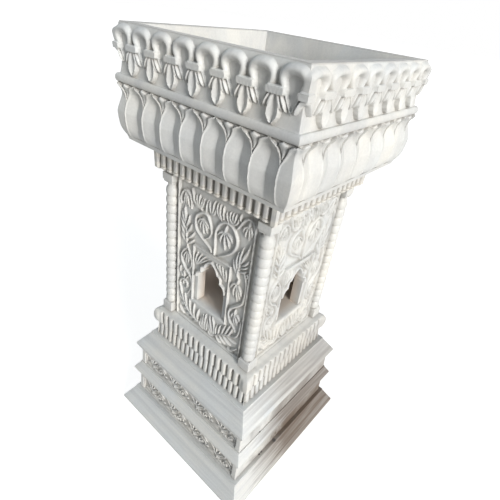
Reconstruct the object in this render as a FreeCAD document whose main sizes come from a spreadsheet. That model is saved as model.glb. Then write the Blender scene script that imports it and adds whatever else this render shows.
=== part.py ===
import FreeCAD, Part
import math
import os
import Sketcher

# A carved marble tulsi planter: a stepped plinth, a hollow shaft with four arched windows and four
# ringed corner columns, and a mitred planter box with a lotus course, a plain band and a loop frieze.
# Millimetres, +Z up, origin at the centre of the underside. The front looks along -Y.

os.makedirs("parts", exist_ok=True)
doc = FreeCAD.newDocument("tulsi_planter")
sheet = doc.addObject("Spreadsheet::Sheet", "Sizes")


class Size:
    """A length with its value and the sheet expression that gives it."""

    def __init__(self, value, text):
        self.value = value
        self.text = text

    def join(self, other, sign, value):
        text = other.text if isinstance(other, Size) else repr(other)
        return Size(value, "(" + self.text + " " + sign + " " + text + ")")

    def __add__(self, other):
        return self.join(other, "+", self.value + other.value)

    def __sub__(self, other):
        return self.join(other, "-", self.value - other.value)

    def __mul__(self, count):
        return self.join(count, "*", self.value * count)

    def __truediv__(self, count):
        return self.join(count, "/", self.value / count)

    def __neg__(self):
        return Size(-self.value, "(0 mm - " + self.text + ")")


# Driving dimensions

SIZES = {
    # plinth heights, from the ground up
    "base_edge_height": 8.0,
    "base_slope_height": 54.0,
    "step_height": 4.0,
    "lower_block_height": 64.0,
    "middle_under_height": 35.0,
    "middle_edge_height": 4.0,
    "middle_slope_height": 25.0,
    "upper_block_height": 55.0,
    "top_under_height": 31.0,
    "top_edge_height": 5.0,
    "top_slope_height": 50.0,
    # plinth half widths
    "base_half": 282.0,
    "base_step_half": 249.0,
    "lower_foot_half": 237.0,
    "lower_head_half": 235.0,
    "middle_half": 250.0,
    "middle_step_half": 234.0,
    "upper_foot_half": 230.0,
    "upper_head_half": 228.0,
    "top_half": 241.0,
    "top_step_half": 206.0,
    # sunk fields for the carving on the front of both plinth blocks
    "sunk_side_margin": 18.0,
    "sunk_edge_margin": 5.0,
    "sunk_depth": 6.0,
    # reeded course
    "reed_height": 49.0,
    "cap_height": 56.0,
    "ledge_height": 7.0,
    "reed_half": 184.0,
    "cap_half": 197.0,
    "ledge_half": 178.0,
    "reed_groove": 7.0,
    "cap_groove": 11.0,
    "groove_half_width": 3.0,
    # shaft
    "shaft_height": 448.0,
    "panel_half": 166.0,
    "panel_thickness": 36.0,
    "panel_border": 130.0,
    "border_width": 4.0,
    "field_depth": 5.0,
    "margin_depth": 9.0,
    "niche_floor_height": 96.0,
    "window_half": 50.0,
    "jamb_height": 88.0,
    "arch_height": 67.0,
    "frame_margin": 16.0,
    "frame_foot": 8.0,
    "frame_head": 30.0,
    # corner columns
    "column_centre": 159.0,
    "column_radius": 18.0,
    "ring_groove": 1.8,
    "neck_radius": 12.0,
    "neck_height": 12.0,
    "block_half": 19.0,
    "foot_block_height": 31.0,
    "capital_height": 25.0,
    # dentil band
    "band_foot_height": 4.0,
    "cup_height": 12.0,
    "dentil_height": 58.0,
    "dentil_under_half": 178.0,
    "dentil_ring_half": 181.0,
    "dentil_depth": 9.0,
    "dentil_half_width": 7.9,
    "dentil_cup_lip": 1.9,
    "dentil_corner_half": 193.5,
    "chamber_half": 118.0,
    # planter box
    "fillet_height": 10.0,
    "floor_thickness": 33.0,
    "fillet_foot_half": 232.0,
    "fillet_half": 235.0,
    "cavity_half": 213.0,
    "drain_radius": 12.5,
    # lotus course
    "lotus_height": 116.0,
    "lotus_flank_half": 246.0,
    "lotus_bulge_half": 250.0,
    "lotus_shoulder_half": 245.0,
    "lotus_neck_half": 241.0,
    "lotus_lip_half": 249.0,
    "petal_relief": 6.0,
    "petal_scoop": 5.0,
    "petal_pitch": 62.0,
    # plain band
    "band_height": 18.0,
    "band_half": 249.5,
    "band_edge_half": 245.0,
    # loop frieze
    "frieze_height": 99.0,
    "frieze_foot_half": 240.0,
    "rim_half": 238.0,
    "loop_half": 247.5,
    "loop_radius": 26.0,
    "loop_height": 72.0,
    "loop_top_gap": 4.5,
    "loop_hole_radius": 11.5,
    "loop_hole_height": 46.0,
    "loop_bowl_depth": 4.0,
    "tie_half": 249.5,
    "tie_height": 13.0,
    "tie_half_width": 18.0,
    "tie_drop": 38.0,
    "leaf_half": 247.0,
    "leaf_half_width": 11.0,
    "leaf_foot_gap": 2.0,
    "leaflet_half": 245.5,
    # hidden square dowels
    "dowel_half": 5.0,
    "dowel_depth": 25.0,
    "dowel_gap": 0.5,
    "dowel_place": 95.0,
}

S = {}
for row, (name, value) in enumerate(SIZES.items(), start=1):
    cell = "A" + str(row)
    sheet.set(cell, str(value))
    sheet.setAlias(cell, name)
    S[name] = Size(value, "Sizes." + name + " * 1 mm")
doc.recompute()

NOTHING = Size(0.0, "0 mm")

LOOP_COUNT = 8
DENTIL_COUNT = 15
CAP_COUNT = 16
REED_COUNT = 18
RING_COUNT = 15
COLUMN_SIDES = 8
ROUND_STEPS = 4
SMALL_ROUND_STEPS = 3
CURVE_STEPS = 3
SIDES = ("front", "right", "back", "left")

# Shares of the arch's half width and rise: the cusps between its foils and the bends of the foils
WINDOW_SHARES = {
    "cusps": ((0.66, 0.33), (0.46, 0.62), (0.0, 1.0)),
    "bends": ((1.0, 0.28), (0.72, 0.66), (0.38, 0.9)),
}

# Shares of the lotus course's height for the breaks in its outline
LOTUS_LEVEL_SHARES = {"flank": 0.18, "bulge": 0.42, "shoulder": 0.63, "neck": 0.79, "lip": 0.97}

# Shares of the pitch across and of the course's height up, for half of a petal and of a bud from the foot
PETAL_SHARES = ((0.5, 0.0), (0.5, 0.66), (0.43, 0.77), (0.27, 0.88), (0.0, 0.985))
BUD_SHARES = ((0.0, 0.77), (0.14, 0.9), (0.1, 0.97))

# Shares of the half width across and of the height up, for half of one loop below its round head
LOOP_SHARES = ((0.0, 0.0), (0.6, 0.38))

# Shares of the half width across and of the height up, for half of one almond leaf
LEAF_SHARES = ((0.0, 0.0), (1.0, 0.42), (0.45, 1.0))

# Shares of the pitch across and of the leaf's height up, for one drooping leaflet beside it
LEAFLET_SHARES = ((0.06, 1.0), (0.27, 0.46), (0.42, 0.5), (0.21, 1.0))


# Heights of the joints between the courses

base_top = S["base_edge_height"] + S["base_slope_height"] + S["step_height"]
lower_top = base_top + S["lower_block_height"]
middle_tip = lower_top + S["middle_under_height"]
middle_top = middle_tip + S["middle_edge_height"] + S["middle_slope_height"] + S["step_height"]
upper_top = middle_top + S["upper_block_height"]
top_tip = upper_top + S["top_under_height"]
plinth_top = top_tip + S["top_edge_height"] + S["top_slope_height"] + S["step_height"]
reed_top = plinth_top + S["reed_height"]
cap_top = reed_top + S["cap_height"]
shaft_foot = cap_top + S["ledge_height"]
niche_floor = shaft_foot + S["niche_floor_height"]
shaft_top = shaft_foot + S["shaft_height"]
cup_foot = shaft_top + S["band_foot_height"]
cup_top = cup_foot + S["cup_height"]
dentil_top = cup_top + S["dentil_height"]
lotus_foot = dentil_top + S["fillet_height"]
lotus_top = lotus_foot + S["lotus_height"]
band_top = lotus_top + S["band_height"]
rim_top = band_top + S["frieze_height"]


# Building helpers


def add(kind, name, **sizes):
    """Add an object whose sizes are bound to the sheet."""
    thing = doc.addObject(kind, name)
    for key, size in sizes.items():
        setattr(thing, key, size.value)
        thing.setExpression(key, size.text)
    return thing


def place(thing, x=NOTHING, y=NOTHING, z=NOTHING, axis=(0, 0, 1), angle=0):
    """Put an object at a place bound to the sheet."""
    spot = FreeCAD.Vector(x.value, y.value, z.value)
    thing.Placement = FreeCAD.Placement(spot, FreeCAD.Rotation(FreeCAD.Vector(*axis), angle))
    for key, size in (("x", x), ("y", y), ("z", z)):
        thing.setExpression(".Placement.Base." + key, size.text)
    return thing


def block(name, x, y, z):
    """A box between pairs of limits along each axis."""
    box = add("Part::Box", name, Length=x[1] - x[0], Width=y[1] - y[0], Height=z[1] - z[0])
    return place(box, x[0], y[0], z[0])


def fuse(name, shapes):
    whole = doc.addObject("Part::MultiFuse", name)
    whole.Shapes = shapes
    whole.Refine = True
    return whole


def group(name, shapes):
    whole = doc.addObject("Part::Compound", name)
    whole.Links = shapes
    return whole


def cut(name, base, tool):
    rest = doc.addObject("Part::Cut", name)
    rest.Base = base
    rest.Tool = tool
    return rest


def common(name, base, tool):
    rest = doc.addObject("Part::Common", name)
    rest.Base = base
    rest.Tool = tool
    return rest


def outline(name, corners):
    """A closed sketch through the corners, each held at sizes from the sheet."""
    sketch = doc.addObject("Sketcher::SketchObject", name)
    spots = [FreeCAD.Vector(corner[0].value, corner[1].value, 0) for corner in corners]
    count = len(corners)
    sketch.addGeometry([Part.LineSegment(spots[i - 1], spots[i]) for i in range(count)], False)
    joined = [Sketcher.Constraint("Coincident", i, 2, (i + 1) % count, 1) for i in range(count)]
    sketch.addConstraint(joined)
    for direction, kind in enumerate(("DistanceX", "DistanceY")):
        held = [Sketcher.Constraint(kind, i, 2, corners[i][direction].value) for i in range(count)]
        numbers = sketch.addConstraint(held)
        for number, corner in zip(numbers, corners):
            sketch.setExpression("Constraints[" + str(number) + "]", corner[direction].text)
    return sketch


def turned_to_side(sketch):
    """Stand a profile sketch in the YZ plane."""
    sketch.Placement.Rotation = FreeCAD.Rotation(FreeCAD.Vector(1, 1, 1), 120)
    return sketch


def extruded(name, sketch, length, symmetric=False):
    """A solid run along a sketch's normal."""
    run = add("Part::Extrusion", name, LengthFwd=length)
    run.Base = sketch
    run.DirMode = "Normal"
    run.Symmetric = symmetric
    run.Solid = True
    return run


def bar(name, corners, length):
    """A profile in the YZ plane run along X, half each way."""
    sketch = turned_to_side(outline(name + "_profile", corners))
    return extruded(name, sketch, length, symmetric=True)


def slanted_bar(name, corners, across, inward):
    """A profile in the YZ plane run along X from x = 0 while it draws in towards the centre line."""
    run = doc.addObject("Part::Extrusion", name)
    run.Base = turned_to_side(outline(name + "_profile", corners))
    run.DirMode = "Custom"
    run.Dir = FreeCAD.Vector(across.value, inward.value, 0)
    run.setExpression("Dir.x", "(" + across.text + ") / 1 mm")
    run.setExpression("Dir.y", "(" + inward.text + ") / 1 mm")
    run.Solid = True
    return run


def plate(name, corners, back, front):
    """An outline in the XZ plane, filled between two distances in front of the centre."""
    sketch = outline(name + "_outline", corners)
    place(sketch, y=-back, axis=(1, 0, 0), angle=90)
    return extruded(name, sketch, front - back)


def upright(name, corners, foot, head):
    """A plan outline filled between two heights."""
    sketch = outline(name + "_plan", corners)
    place(sketch, z=foot)
    return extruded(name, sketch, head - foot)


def turned(name, shape, angle):
    """The same shape turned about the centre line."""
    return place(group(name, [shape]), angle=angle)


def moved(name, shape, x=NOTHING, y=NOTHING, z=NOTHING):
    """The same shape moved."""
    return place(group(name, [shape]), x, y, z)


def all_round(name, shape):
    """The same shape on all four sides."""
    return group(name, [turned(name + "_" + side, shape, 90 * quarter) for quarter, side in enumerate(SIDES)])


def row_of(name, shape, places):
    """The same shape at each place along X."""
    return group(name, [moved(name + "_" + str(index), shape, x=x) for index, x in enumerate(places)])


def oval_steps(centre, radii, start, end, steps=ROUND_STEPS):
    """Corners round part of an oval, between two angles in degrees."""
    corners = []
    for step in range(steps + 1):
        angle = math.radians(start + (end - start) * step / steps)
        across = radii[0] * round(math.cos(angle), 6)
        up = radii[1] * round(math.sin(angle), 6)
        corners.append((centre[0] + across, centre[1] + up))
    return corners


def curve_steps(start, bend, end):
    """Corners along a curve that leaves its start towards the bend; the start itself is left out."""
    corners = []
    for step in range(1, CURVE_STEPS + 1):
        share = step / CURVE_STEPS
        shares = ((1 - share) ** 2, 2 * share * (1 - share), share ** 2)
        corner = []
        for direction in range(2):
            parts = [spot[direction] * part for spot, part in zip((start, bend, end), shares)]
            corner.append(parts[0] + parts[1] + parts[2])
        corners.append(tuple(corner))
    return corners


def mirrored(corners):
    """The same corners on the other side of x = 0, in reverse, without those on the centre line."""
    return [(-x, y) for x, y in reversed(corners) if x.value != 0]


def moulded_block(name, steps, sides=4):
    """A block of even sides with the same moulding mitred round it."""
    widest = max((step[0] for step in steps), key=lambda size: size.value)
    along = bar(name + "_bar", steps + mirrored(steps), widest * 2)
    whole = along
    for index in range(1, sides // 2):
        across = turned(name + "_turn_" + str(index), along, 360 * index / sides)
        whole = common(name + "_mitre_" + str(index), whole, across)
    return whole


def side_prism(name, outer, inner, foot, head):
    """A prism over one quarter of a square ring, with its ends on the diagonals."""
    return upright(name, [(-outer, -outer), (outer, -outer), (inner, -inner), (-inner, -inner)], foot, head)


def groove(name, mouth, root, foot, head):
    """An upright V groove in the front face."""
    half = S["groove_half_width"]
    return upright(name, [(-half, -mouth), (half, -mouth), (NOTHING, -root)], foot, head)


NODES = {}


def keep(name, shape):
    """Name a finished piece as a node of its own."""
    shape.Label = name
    NODES[name] = shape


# Dowels and the holes they stand in

DOWELS = []


def diagonal_places(flipped):
    """Two opposite places on a diagonal for the dowels of one joint."""
    across = S["dowel_place"]
    along = -across if flipped else across
    return ((across, along), (-across, -along))


def column_places():
    """The four column centres."""
    centre = S["column_centre"]
    return ((centre, -centre), (centre, centre), (-centre, centre), (-centre, -centre))


def square_post(name, spot, half, foot, head):
    return block(name, (spot[0] - half, spot[0] + half), (spot[1] - half, spot[1] + half), (foot, head))


def add_dowels(name, spots, joint):
    """Dowels across one joint, half in each piece."""
    for index, spot in enumerate(spots):
        foot = joint - S["dowel_depth"]
        head = joint + S["dowel_depth"]
        DOWELS.append(square_post(name + "_" + str(index), spot, S["dowel_half"], foot, head))


def mortises(name, spots, joint, above):
    """The holes of one joint in the piece above it or below it, with room above each dowel."""
    half = S["dowel_half"] + S["dowel_gap"]
    foot = joint if above else joint - S["dowel_depth"]
    head = joint + S["dowel_depth"] + S["dowel_gap"] if above else joint
    return [square_post(name + "_" + str(index), spot, half, foot, head) for index, spot in enumerate(spots)]


def doweled(name, body, below=None, above=None):
    """Cut the mortises of the joints below and above a piece."""
    holes = []
    if below is not None:
        holes += mortises(name + "_foot_mortise", below[0], below[1], True)
    if above is not None:
        holes += mortises(name + "_head_mortise", above[0], above[1], False)
    return cut(name, body, group(name + "_mortises", holes))


# Plinth


def build_base(above):
    steps = [
        (S["base_half"], NOTHING),
        (S["base_half"], S["base_edge_height"]),
        (S["base_step_half"], base_top - S["step_height"]),
        (S["base_step_half"], base_top),
    ]
    keep("base_slab", doweled("base_slab", moulded_block("base_slab_form", steps), above=above))


def build_block(name, halves, levels, below, above):
    """A plinth block with a sunk field for carving on its front."""
    body = moulded_block(name + "_form", list(zip(halves, levels)))
    side = halves[0] - S["sunk_side_margin"]
    field = block(
        name + "_field",
        (-side, side),
        (-halves[0] - S["sunk_depth"], -halves[0] + S["sunk_depth"]),
        (levels[0] + S["sunk_edge_margin"], levels[1] - S["sunk_edge_margin"]),
    )
    keep(name, doweled(name, cut(name + "_sunk", body, field), below, above))


def build_slab(name, halves, levels, below, above):
    """A moulded plinth slab: sloped under side, upright edge, sloped top and a small step."""
    steps = [
        (halves[0], levels[0]),
        (halves[1], levels[1]),
        (halves[1], levels[2]),
        (halves[2], levels[3] - S["step_height"]),
        (halves[2], levels[3]),
    ]
    keep(name, doweled(name, moulded_block(name + "_form", steps), below, above))


def build_plinth():
    levels = (base_top, lower_top, middle_top, upper_top, plinth_top)
    joints = [(diagonal_places(index % 2 == 1), level) for index, level in enumerate(levels)]
    for index, (spots, level) in enumerate(joints):
        add_dowels("plinth_dowel_" + str(index), spots, level)
    build_base(joints[0])
    lower_halves = (S["lower_foot_half"], S["lower_head_half"])
    build_block("lower_frieze_block", lower_halves, (base_top, lower_top), joints[0], joints[1])
    middle_halves = (S["lower_head_half"], S["middle_half"], S["middle_step_half"])
    middle_levels = (lower_top, middle_tip, middle_tip + S["middle_edge_height"], middle_top)
    build_slab("middle_slab", middle_halves, middle_levels, joints[1], joints[2])
    upper_halves = (S["upper_foot_half"], S["upper_head_half"])
    build_block("upper_frieze_block", upper_halves, (middle_top, upper_top), joints[2], joints[3])
    top_halves = (S["upper_head_half"], S["top_half"], S["top_step_half"])
    top_levels = (upper_top, top_tip, top_tip + S["top_edge_height"], plinth_top)
    build_slab("top_plinth_slab", top_halves, top_levels, joints[3], joints[4])
    return joints[4]


# Reeded course


def spaced_grooves(name, half, count, depth, foot, head):
    """Grooves that part the front face into an even number of reeds."""
    tool = groove(name, S["cap_half"] + depth, half - depth, foot, head)
    pitch = half * 2 / count
    return row_of(name + "_row", tool, [pitch * place for place in range(1 - count // 2, count // 2)])


def build_reeds(below):
    middle = reed_top + S["cap_height"] / 2
    radii = (S["cap_half"] - S["reed_half"], S["cap_height"] / 2)
    steps = [(S["reed_half"], plinth_top)]
    steps += oval_steps((S["reed_half"], middle), radii, -90, 90)
    steps += [(S["ledge_half"], cap_top), (S["panel_half"], shaft_foot)]
    body = moulded_block("reed_form", steps)
    reeds = spaced_grooves("reed_groove", S["reed_half"], REED_COUNT, S["reed_groove"], plinth_top, reed_top)
    caps = spaced_grooves("cap_groove", S["cap_half"], CAP_COUNT, S["cap_groove"], reed_top, cap_top)
    body = cut("reed_cut", body, all_round("groove_round", group("groove_side", [reeds, caps])))
    columns = (column_places(), shaft_foot)
    core = (diagonal_places(True), shaft_foot)
    add_dowels("column_foot_dowel", *columns)
    add_dowels("core_dowel", *core)
    body = doweled("reed_column_holes", body, above=columns)
    keep("reeded_course", doweled("reeded_course", body, below, core))
    return core


# Shaft


def window_outline():
    """A niche opening with upright jambs and a pointed arch of foils."""
    spring = niche_floor + S["jamb_height"]
    wide = S["window_half"]
    right = [(wide, niche_floor), (wide, spring)]
    for cusp, bend in zip(WINDOW_SHARES["cusps"], WINDOW_SHARES["bends"]):
        spots = [(wide * share[0], spring + S["arch_height"] * share[1]) for share in (bend, cusp)]
        right += curve_steps(right[-1], *spots)
    return right + mirrored(right)


def build_panel():
    """One face slab of the shaft, on the front, with its border, sunk field and framed window."""
    half = S["panel_half"]
    inner = half - S["panel_thickness"]
    slab = side_prism("panel_slab", half, inner, shaft_foot, shaft_top)
    field = S["panel_border"] - S["border_width"]
    sunk = block(
        "panel_field",
        (-field, field),
        (-half - S["field_depth"], -half + S["field_depth"]),
        (shaft_foot + S["border_width"], shaft_top - S["border_width"]),
    )
    frame = S["window_half"] + S["frame_margin"]
    arch_top = niche_floor + S["jamb_height"] + S["arch_height"]
    raised = block(
        "panel_frame",
        (-frame, frame),
        (-half - S["margin_depth"], -half + S["margin_depth"]),
        (niche_floor - S["frame_foot"], arch_top + S["frame_head"]),
    )
    reach = half + S["margin_depth"]
    opening = plate("panel_window", window_outline(), inner - S["margin_depth"], reach)
    cuts = [cut("panel_sunk", sunk, raised), opening]
    corner = S["column_centre"] - S["block_half"]
    levels = (shaft_foot - S["margin_depth"], shaft_top + S["margin_depth"])
    for side in ("right", "left"):
        rebate = block("rebate_" + side, (corner, reach), (-reach, -corner), levels)
        margin_depths = (-reach, -half + S["margin_depth"])
        margin = block("margin_" + side, (S["panel_border"], reach), margin_depths, levels)
        cuts += [rebate, margin] if side == "right" else [mirror_x(rebate), mirror_x(margin)]
    return cut("panel_form", slab, group("panel_cuts", cuts))


def mirror_x(shape):
    """The mirror image of a shape on the other side of x = 0."""
    image = doc.addObject("Part::Mirroring", shape.Name + "_image")
    image.Source = shape
    image.Normal = FreeCAD.Vector(1, 0, 0)
    return image


def build_column():
    """One corner column at the centre: a square base, ringed shaft, neck and square capital."""
    foot = shaft_foot + S["foot_block_height"]
    head = shaft_top - S["capital_height"]
    neck = head - S["neck_height"]
    ring = (neck - foot) / RING_COUNT
    groove_radius = S["column_radius"] - S["ring_groove"]
    steps = [(groove_radius, foot)]
    for count in range(RING_COUNT):
        steps.append((S["column_radius"], foot + ring * count + ring / 2))
        steps.append((groove_radius, foot + ring * (count + 1)))
    steps += [(S["neck_radius"], neck), (S["column_radius"], head)]
    shaft = moulded_block("column_shaft", steps, COLUMN_SIDES)
    centre = (NOTHING, NOTHING)
    base = square_post("column_base", centre, S["block_half"], shaft_foot, foot)
    capital = square_post("column_capital", centre, S["block_half"], head, shaft_top)
    whole = fuse("column_whole", [shaft, base, capital])
    return doweled("column_form", whole, ((centre,), shaft_foot), ((centre,), shaft_top))


def build_shaft(core_joint):
    inner = S["panel_half"] - S["panel_thickness"]
    core = block("niche_block", (-inner, inner), (-inner, inner), (shaft_foot, niche_floor))
    keep("niche_floor_block", doweled("niche_floor_block", core, below=core_joint))
    panel = build_panel()
    for quarter, side in enumerate(SIDES):
        keep(side + "_panel", turned(side + "_panel", panel, 90 * quarter))
    column = build_column()
    corners = ("front_right", "back_right", "back_left", "front_left")
    for corner, (x, y) in zip(corners, column_places()):
        keep(corner + "_column", moved(corner + "_column", column, x, y))
    add_dowels("column_head_dowel", column_places(), shaft_top)


# Dentil band


def half_round(name, half_width, depth, foot, head):
    """An upright half oval standing out from the front of the band."""
    ring = S["dentil_ring_half"]
    plan = oval_steps((NOTHING, -ring), (half_width, depth), 180, 360, SMALL_ROUND_STEPS)
    back = -(ring - S["dentil_depth"])
    return upright(name, plan + [(half_width, back), (-half_width, back)], foot, head)


def build_dentils():
    steps = [
        (S["dentil_under_half"], shaft_top),
        (S["dentil_under_half"], cup_foot),
        (S["dentil_ring_half"], cup_foot + S["band_foot_height"]),
        (S["dentil_ring_half"], dentil_top),
    ]
    body = moulded_block("dentil_form", steps)
    wide = S["dentil_half_width"]
    lip = S["dentil_cup_lip"]
    teeth_foot = cup_foot + S["band_foot_height"]
    dentil = fuse("dentil", [
        half_round("dentil_stem", wide, S["dentil_depth"], cup_top, dentil_top),
        half_round("dentil_cup", wide + lip, S["dentil_depth"] + lip, teeth_foot, cup_top),
    ])
    outer = S["dentil_corner_half"]
    inner = S["dentil_under_half"]
    corner = block("dentil_corner", (inner, outer), (-outer, -inner), (teeth_foot, dentil_top))
    pitch = (S["dentil_under_half"] + S["dentil_half_width"]) * 2 / (DENTIL_COUNT + 1)
    middle = DENTIL_COUNT // 2
    dentils = row_of("dentil_row", dentil, [pitch * count for count in range(-middle, middle + 1)])
    teeth = [turned("teeth_" + side, group("teeth_side_" + side, [dentils, corner]), 90 * quarter)
             for quarter, side in enumerate(SIDES)]
    body = fuse("dentil_toothed", [body] + teeth)
    chamber = S["chamber_half"]
    hollow = block("dentil_chamber", (-chamber, chamber), (-chamber, chamber), (shaft_top, dentil_top))
    far = S["column_centre"]
    crown = (((far, NOTHING), (-far, NOTHING)), dentil_top)
    add_dowels("crown_dowel", *crown)
    body = cut("dentil_ring", body, hollow)
    keep("dentil_band", doweled("dentil_band", body, (column_places(), shaft_top), crown))
    return crown


# Planter box


def build_floor(below):
    edge = moulded_block("floor_edge", [(S["fillet_foot_half"], dentil_top), (S["fillet_half"], lotus_foot)])
    inner = S["cavity_half"]
    levels = (lotus_foot, dentil_top + S["floor_thickness"])
    bed = block("floor_bed", (-inner, inner), (-inner, inner), levels)
    drain = add("Part::Cylinder", "drain", Radius=S["drain_radius"], Height=S["floor_thickness"])
    place(drain, z=dentil_top)
    body = cut("floor_drained", fuse("floor_form", [edge, bed]), drain)
    keep("planter_floor", doweled("planter_floor", body, below=below))


def wall_corners(outer):
    """The profile of a wall on the front, from its outer line given from the foot up."""
    inner = S["cavity_half"]
    return [(-inner, outer[0][1])] + [(-half, level) for half, level in outer] + [(-inner, outer[-1][1])]


def wall_bar(name, outer):
    """A straight wall on the front with that profile."""
    widest = max((half for half, level in outer), key=lambda size: size.value)
    return bar(name, wall_corners(outer), widest * 2)


def shared_corners(shares, unit, foot, height):
    """Corners from shares of a unit width across and of a height up from a foot."""
    return [(unit * across, foot + height * up) for across, up in shares]


def even_corners(shares, unit, foot, height):
    """A form alike on both sides of x = 0, from the shares of its right half."""
    half = shared_corners(shares, unit, foot, height)
    return half + mirrored(half)


def lotus_line(relief):
    """The outer line of the lotus course, set back by the relief."""
    line = [(S["fillet_half"] - relief, lotus_foot)]
    for level, share in LOTUS_LEVEL_SHARES.items():
        line.append((S["lotus_" + level + "_half"] - relief, lotus_foot + S["lotus_height"] * share))
    line.append((S["lotus_lip_half"] - relief, lotus_top))
    return line


def scooped_petals():
    """The bars of the petals: each half petal draws in from the ridge at its edge to its middle."""
    corners = wall_corners(lotus_line(NOTHING))
    middle = LOOP_COUNT // 2
    half = S["petal_pitch"] / 2
    ridges = [S["petal_pitch"] * count + half for count in range(-middle, middle)]
    rightward = slanted_bar("petal_left_half", corners, half, S["petal_scoop"])
    leftward = slanted_bar("petal_right_half", corners, -half, S["petal_scoop"])
    reach = half + S["petal_relief"]
    corner_right = slanted_bar("corner_petal_right", corners, reach, NOTHING)
    corner_left = slanted_bar("corner_petal_left", corners, -reach, NOTHING)
    return fuse("scooped_petals", [
        row_of("left_halves", rightward, ridges[:-1]),
        row_of("right_halves", leftward, ridges[1:]),
        moved("last_half", corner_right, x=ridges[-1]),
        moved("first_half", corner_left, x=ridges[0]),
    ])


def build_lotus_wall():
    """One lotus wall on the front, with seven scooped petals and half a plain one at each end."""
    inner = S["cavity_half"]
    pitch = S["petal_pitch"]
    height = S["lotus_height"]
    reach = S["lotus_bulge_half"] + S["petal_relief"]
    middle = LOOP_COUNT // 2
    petal = plate("petal", even_corners(PETAL_SHARES, pitch, lotus_foot, height), inner, reach)
    petals = row_of("petals", petal, [pitch * count for count in range(-middle, middle + 1)])
    petals = common("petals_shaped", scooped_petals(), petals)
    bud = plate("bud", even_corners(BUD_SHARES, pitch, lotus_foot, height), inner, S["lotus_shoulder_half"])
    buds = row_of("buds", bud, [pitch * count + pitch / 2 for count in range(-middle, middle)])
    whole = fuse("lotus_whole", [wall_bar("lotus_ground", lotus_line(S["petal_relief"])), petals, buds])
    return common("lotus_wall", whole, side_prism("lotus_side", reach, inner, lotus_foot, lotus_top))


def build_band():
    """The plain round band between the lotus course and the frieze."""
    middle = lotus_top + S["band_height"] / 2
    radii = (S["band_half"] - S["band_edge_half"], S["band_height"] / 2)
    body = moulded_block("band_form", oval_steps((S["band_edge_half"], middle), radii, -90, 90))
    inner = S["cavity_half"]
    hollow = block("band_hollow", (-inner, inner), (-inner, inner), (lotus_top, band_top))
    return cut("plain_band", body, hollow)


def teardrop(radius, tip, centre, steps):
    """A teardrop about x = 0, from its tip up to a round head about a centre."""
    flank = shared_corners(LOOP_SHARES, radius, tip, centre - tip)
    return flank + oval_steps((NOTHING, centre), (radius, radius), 0, 180, steps) + mirrored(flank)


def build_loops(root):
    """The row of teardrop loops and the row of hollows inside them, down to the root of the relief."""
    pitch = S["petal_pitch"]
    middle = LOOP_COUNT // 2
    places = [pitch * count + pitch / 2 for count in range(-middle, middle)]
    top = rim_top - S["loop_top_gap"]
    centre = top - S["loop_radius"]
    outer = teardrop(S["loop_radius"], top - S["loop_height"], centre, ROUND_STEPS)
    loop = plate("loop", outer, root, S["loop_half"])
    hole_tip = centre + S["loop_hole_radius"] - S["loop_hole_height"]
    inner = teardrop(S["loop_hole_radius"], hole_tip, centre, SMALL_ROUND_STEPS)
    hole = plate("loop_hole", inner, S["rim_half"] - S["loop_bowl_depth"], S["tie_half"])
    return row_of("loops", loop, places), row_of("loop_holes", hole, places)


def build_tie(root):
    """A tie across two neighbouring loops, with an almond leaf and two drooping leaflets under it."""
    top = rim_top - S["tie_drop"]
    foot = top - S["tie_height"]
    wide = S["tie_half_width"]
    bar_across = block("tie", (-wide, wide), (-S["tie_half"], -root), (foot, top))
    leaf_foot = band_top + S["leaf_foot_gap"]
    height = foot - leaf_foot
    almond = even_corners(LEAF_SHARES, S["leaf_half_width"], leaf_foot, height)
    leaf = plate("leaf", almond, root, S["leaf_half"])
    droop = shared_corners(LEAFLET_SHARES, S["petal_pitch"], leaf_foot, height)
    leaflet = plate("leaflet", droop, root, S["leaflet_half"])
    return fuse("tie_and_leaves", [bar_across, leaf, leaflet, mirror_x(leaflet)])


def build_frieze_wall():
    """One frieze wall on the front, with its loops, the ties between them and the leaves under each tie."""
    inner = S["cavity_half"]
    root = S["rim_half"] - S["petal_relief"]
    middle = LOOP_COUNT // 2
    wall = wall_bar("frieze_bar", [(S["frieze_foot_half"], band_top), (S["rim_half"], rim_top)])
    loops, holes = build_loops(root)
    hollowed = cut("frieze_hollowed", fuse("frieze_looped", [wall, loops]), holes)
    ties = row_of("ties", build_tie(root), [S["petal_pitch"] * count for count in range(-middle, middle + 1)])
    whole = fuse("frieze_whole", [hollowed, ties])
    return common("frieze_wall", whole, side_prism("frieze_side", S["tie_half"], inner, band_top, rim_top))


def build_planter(below):
    build_floor(below)
    keep("plain_band", build_band())
    lotus = build_lotus_wall()
    frieze = build_frieze_wall()
    for quarter, side in enumerate(SIDES):
        keep(side + "_lotus_wall", turned(side + "_lotus_wall", lotus, 90 * quarter))
        keep(side + "_frieze_wall", turned(side + "_frieze_wall", frieze, 90 * quarter))


build_shaft(build_reeds(build_plinth()))
build_planter(build_dentils())
keep("joint_dowels", group("joint_dowels", DOWELS))
doc.recompute()

for thing in doc.Objects:
    if "Invalid" in thing.State or "Error" in thing.State:
        raise RuntimeError("failed object: " + thing.Name)
for node, piece in NODES.items():
    if piece.Shape.isNull() or not piece.Shape.isValid():
        raise RuntimeError("bad shape: " + node)
for node, piece in NODES.items():
    piece.Shape.exportStep("parts/" + node + ".step")
    print(node, len(piece.Shape.Solids), round(piece.Shape.Volume), piece.Shape.BoundBox)
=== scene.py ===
import math

import bpy
import numpy as np
from mathutils import Matrix, Vector


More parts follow.
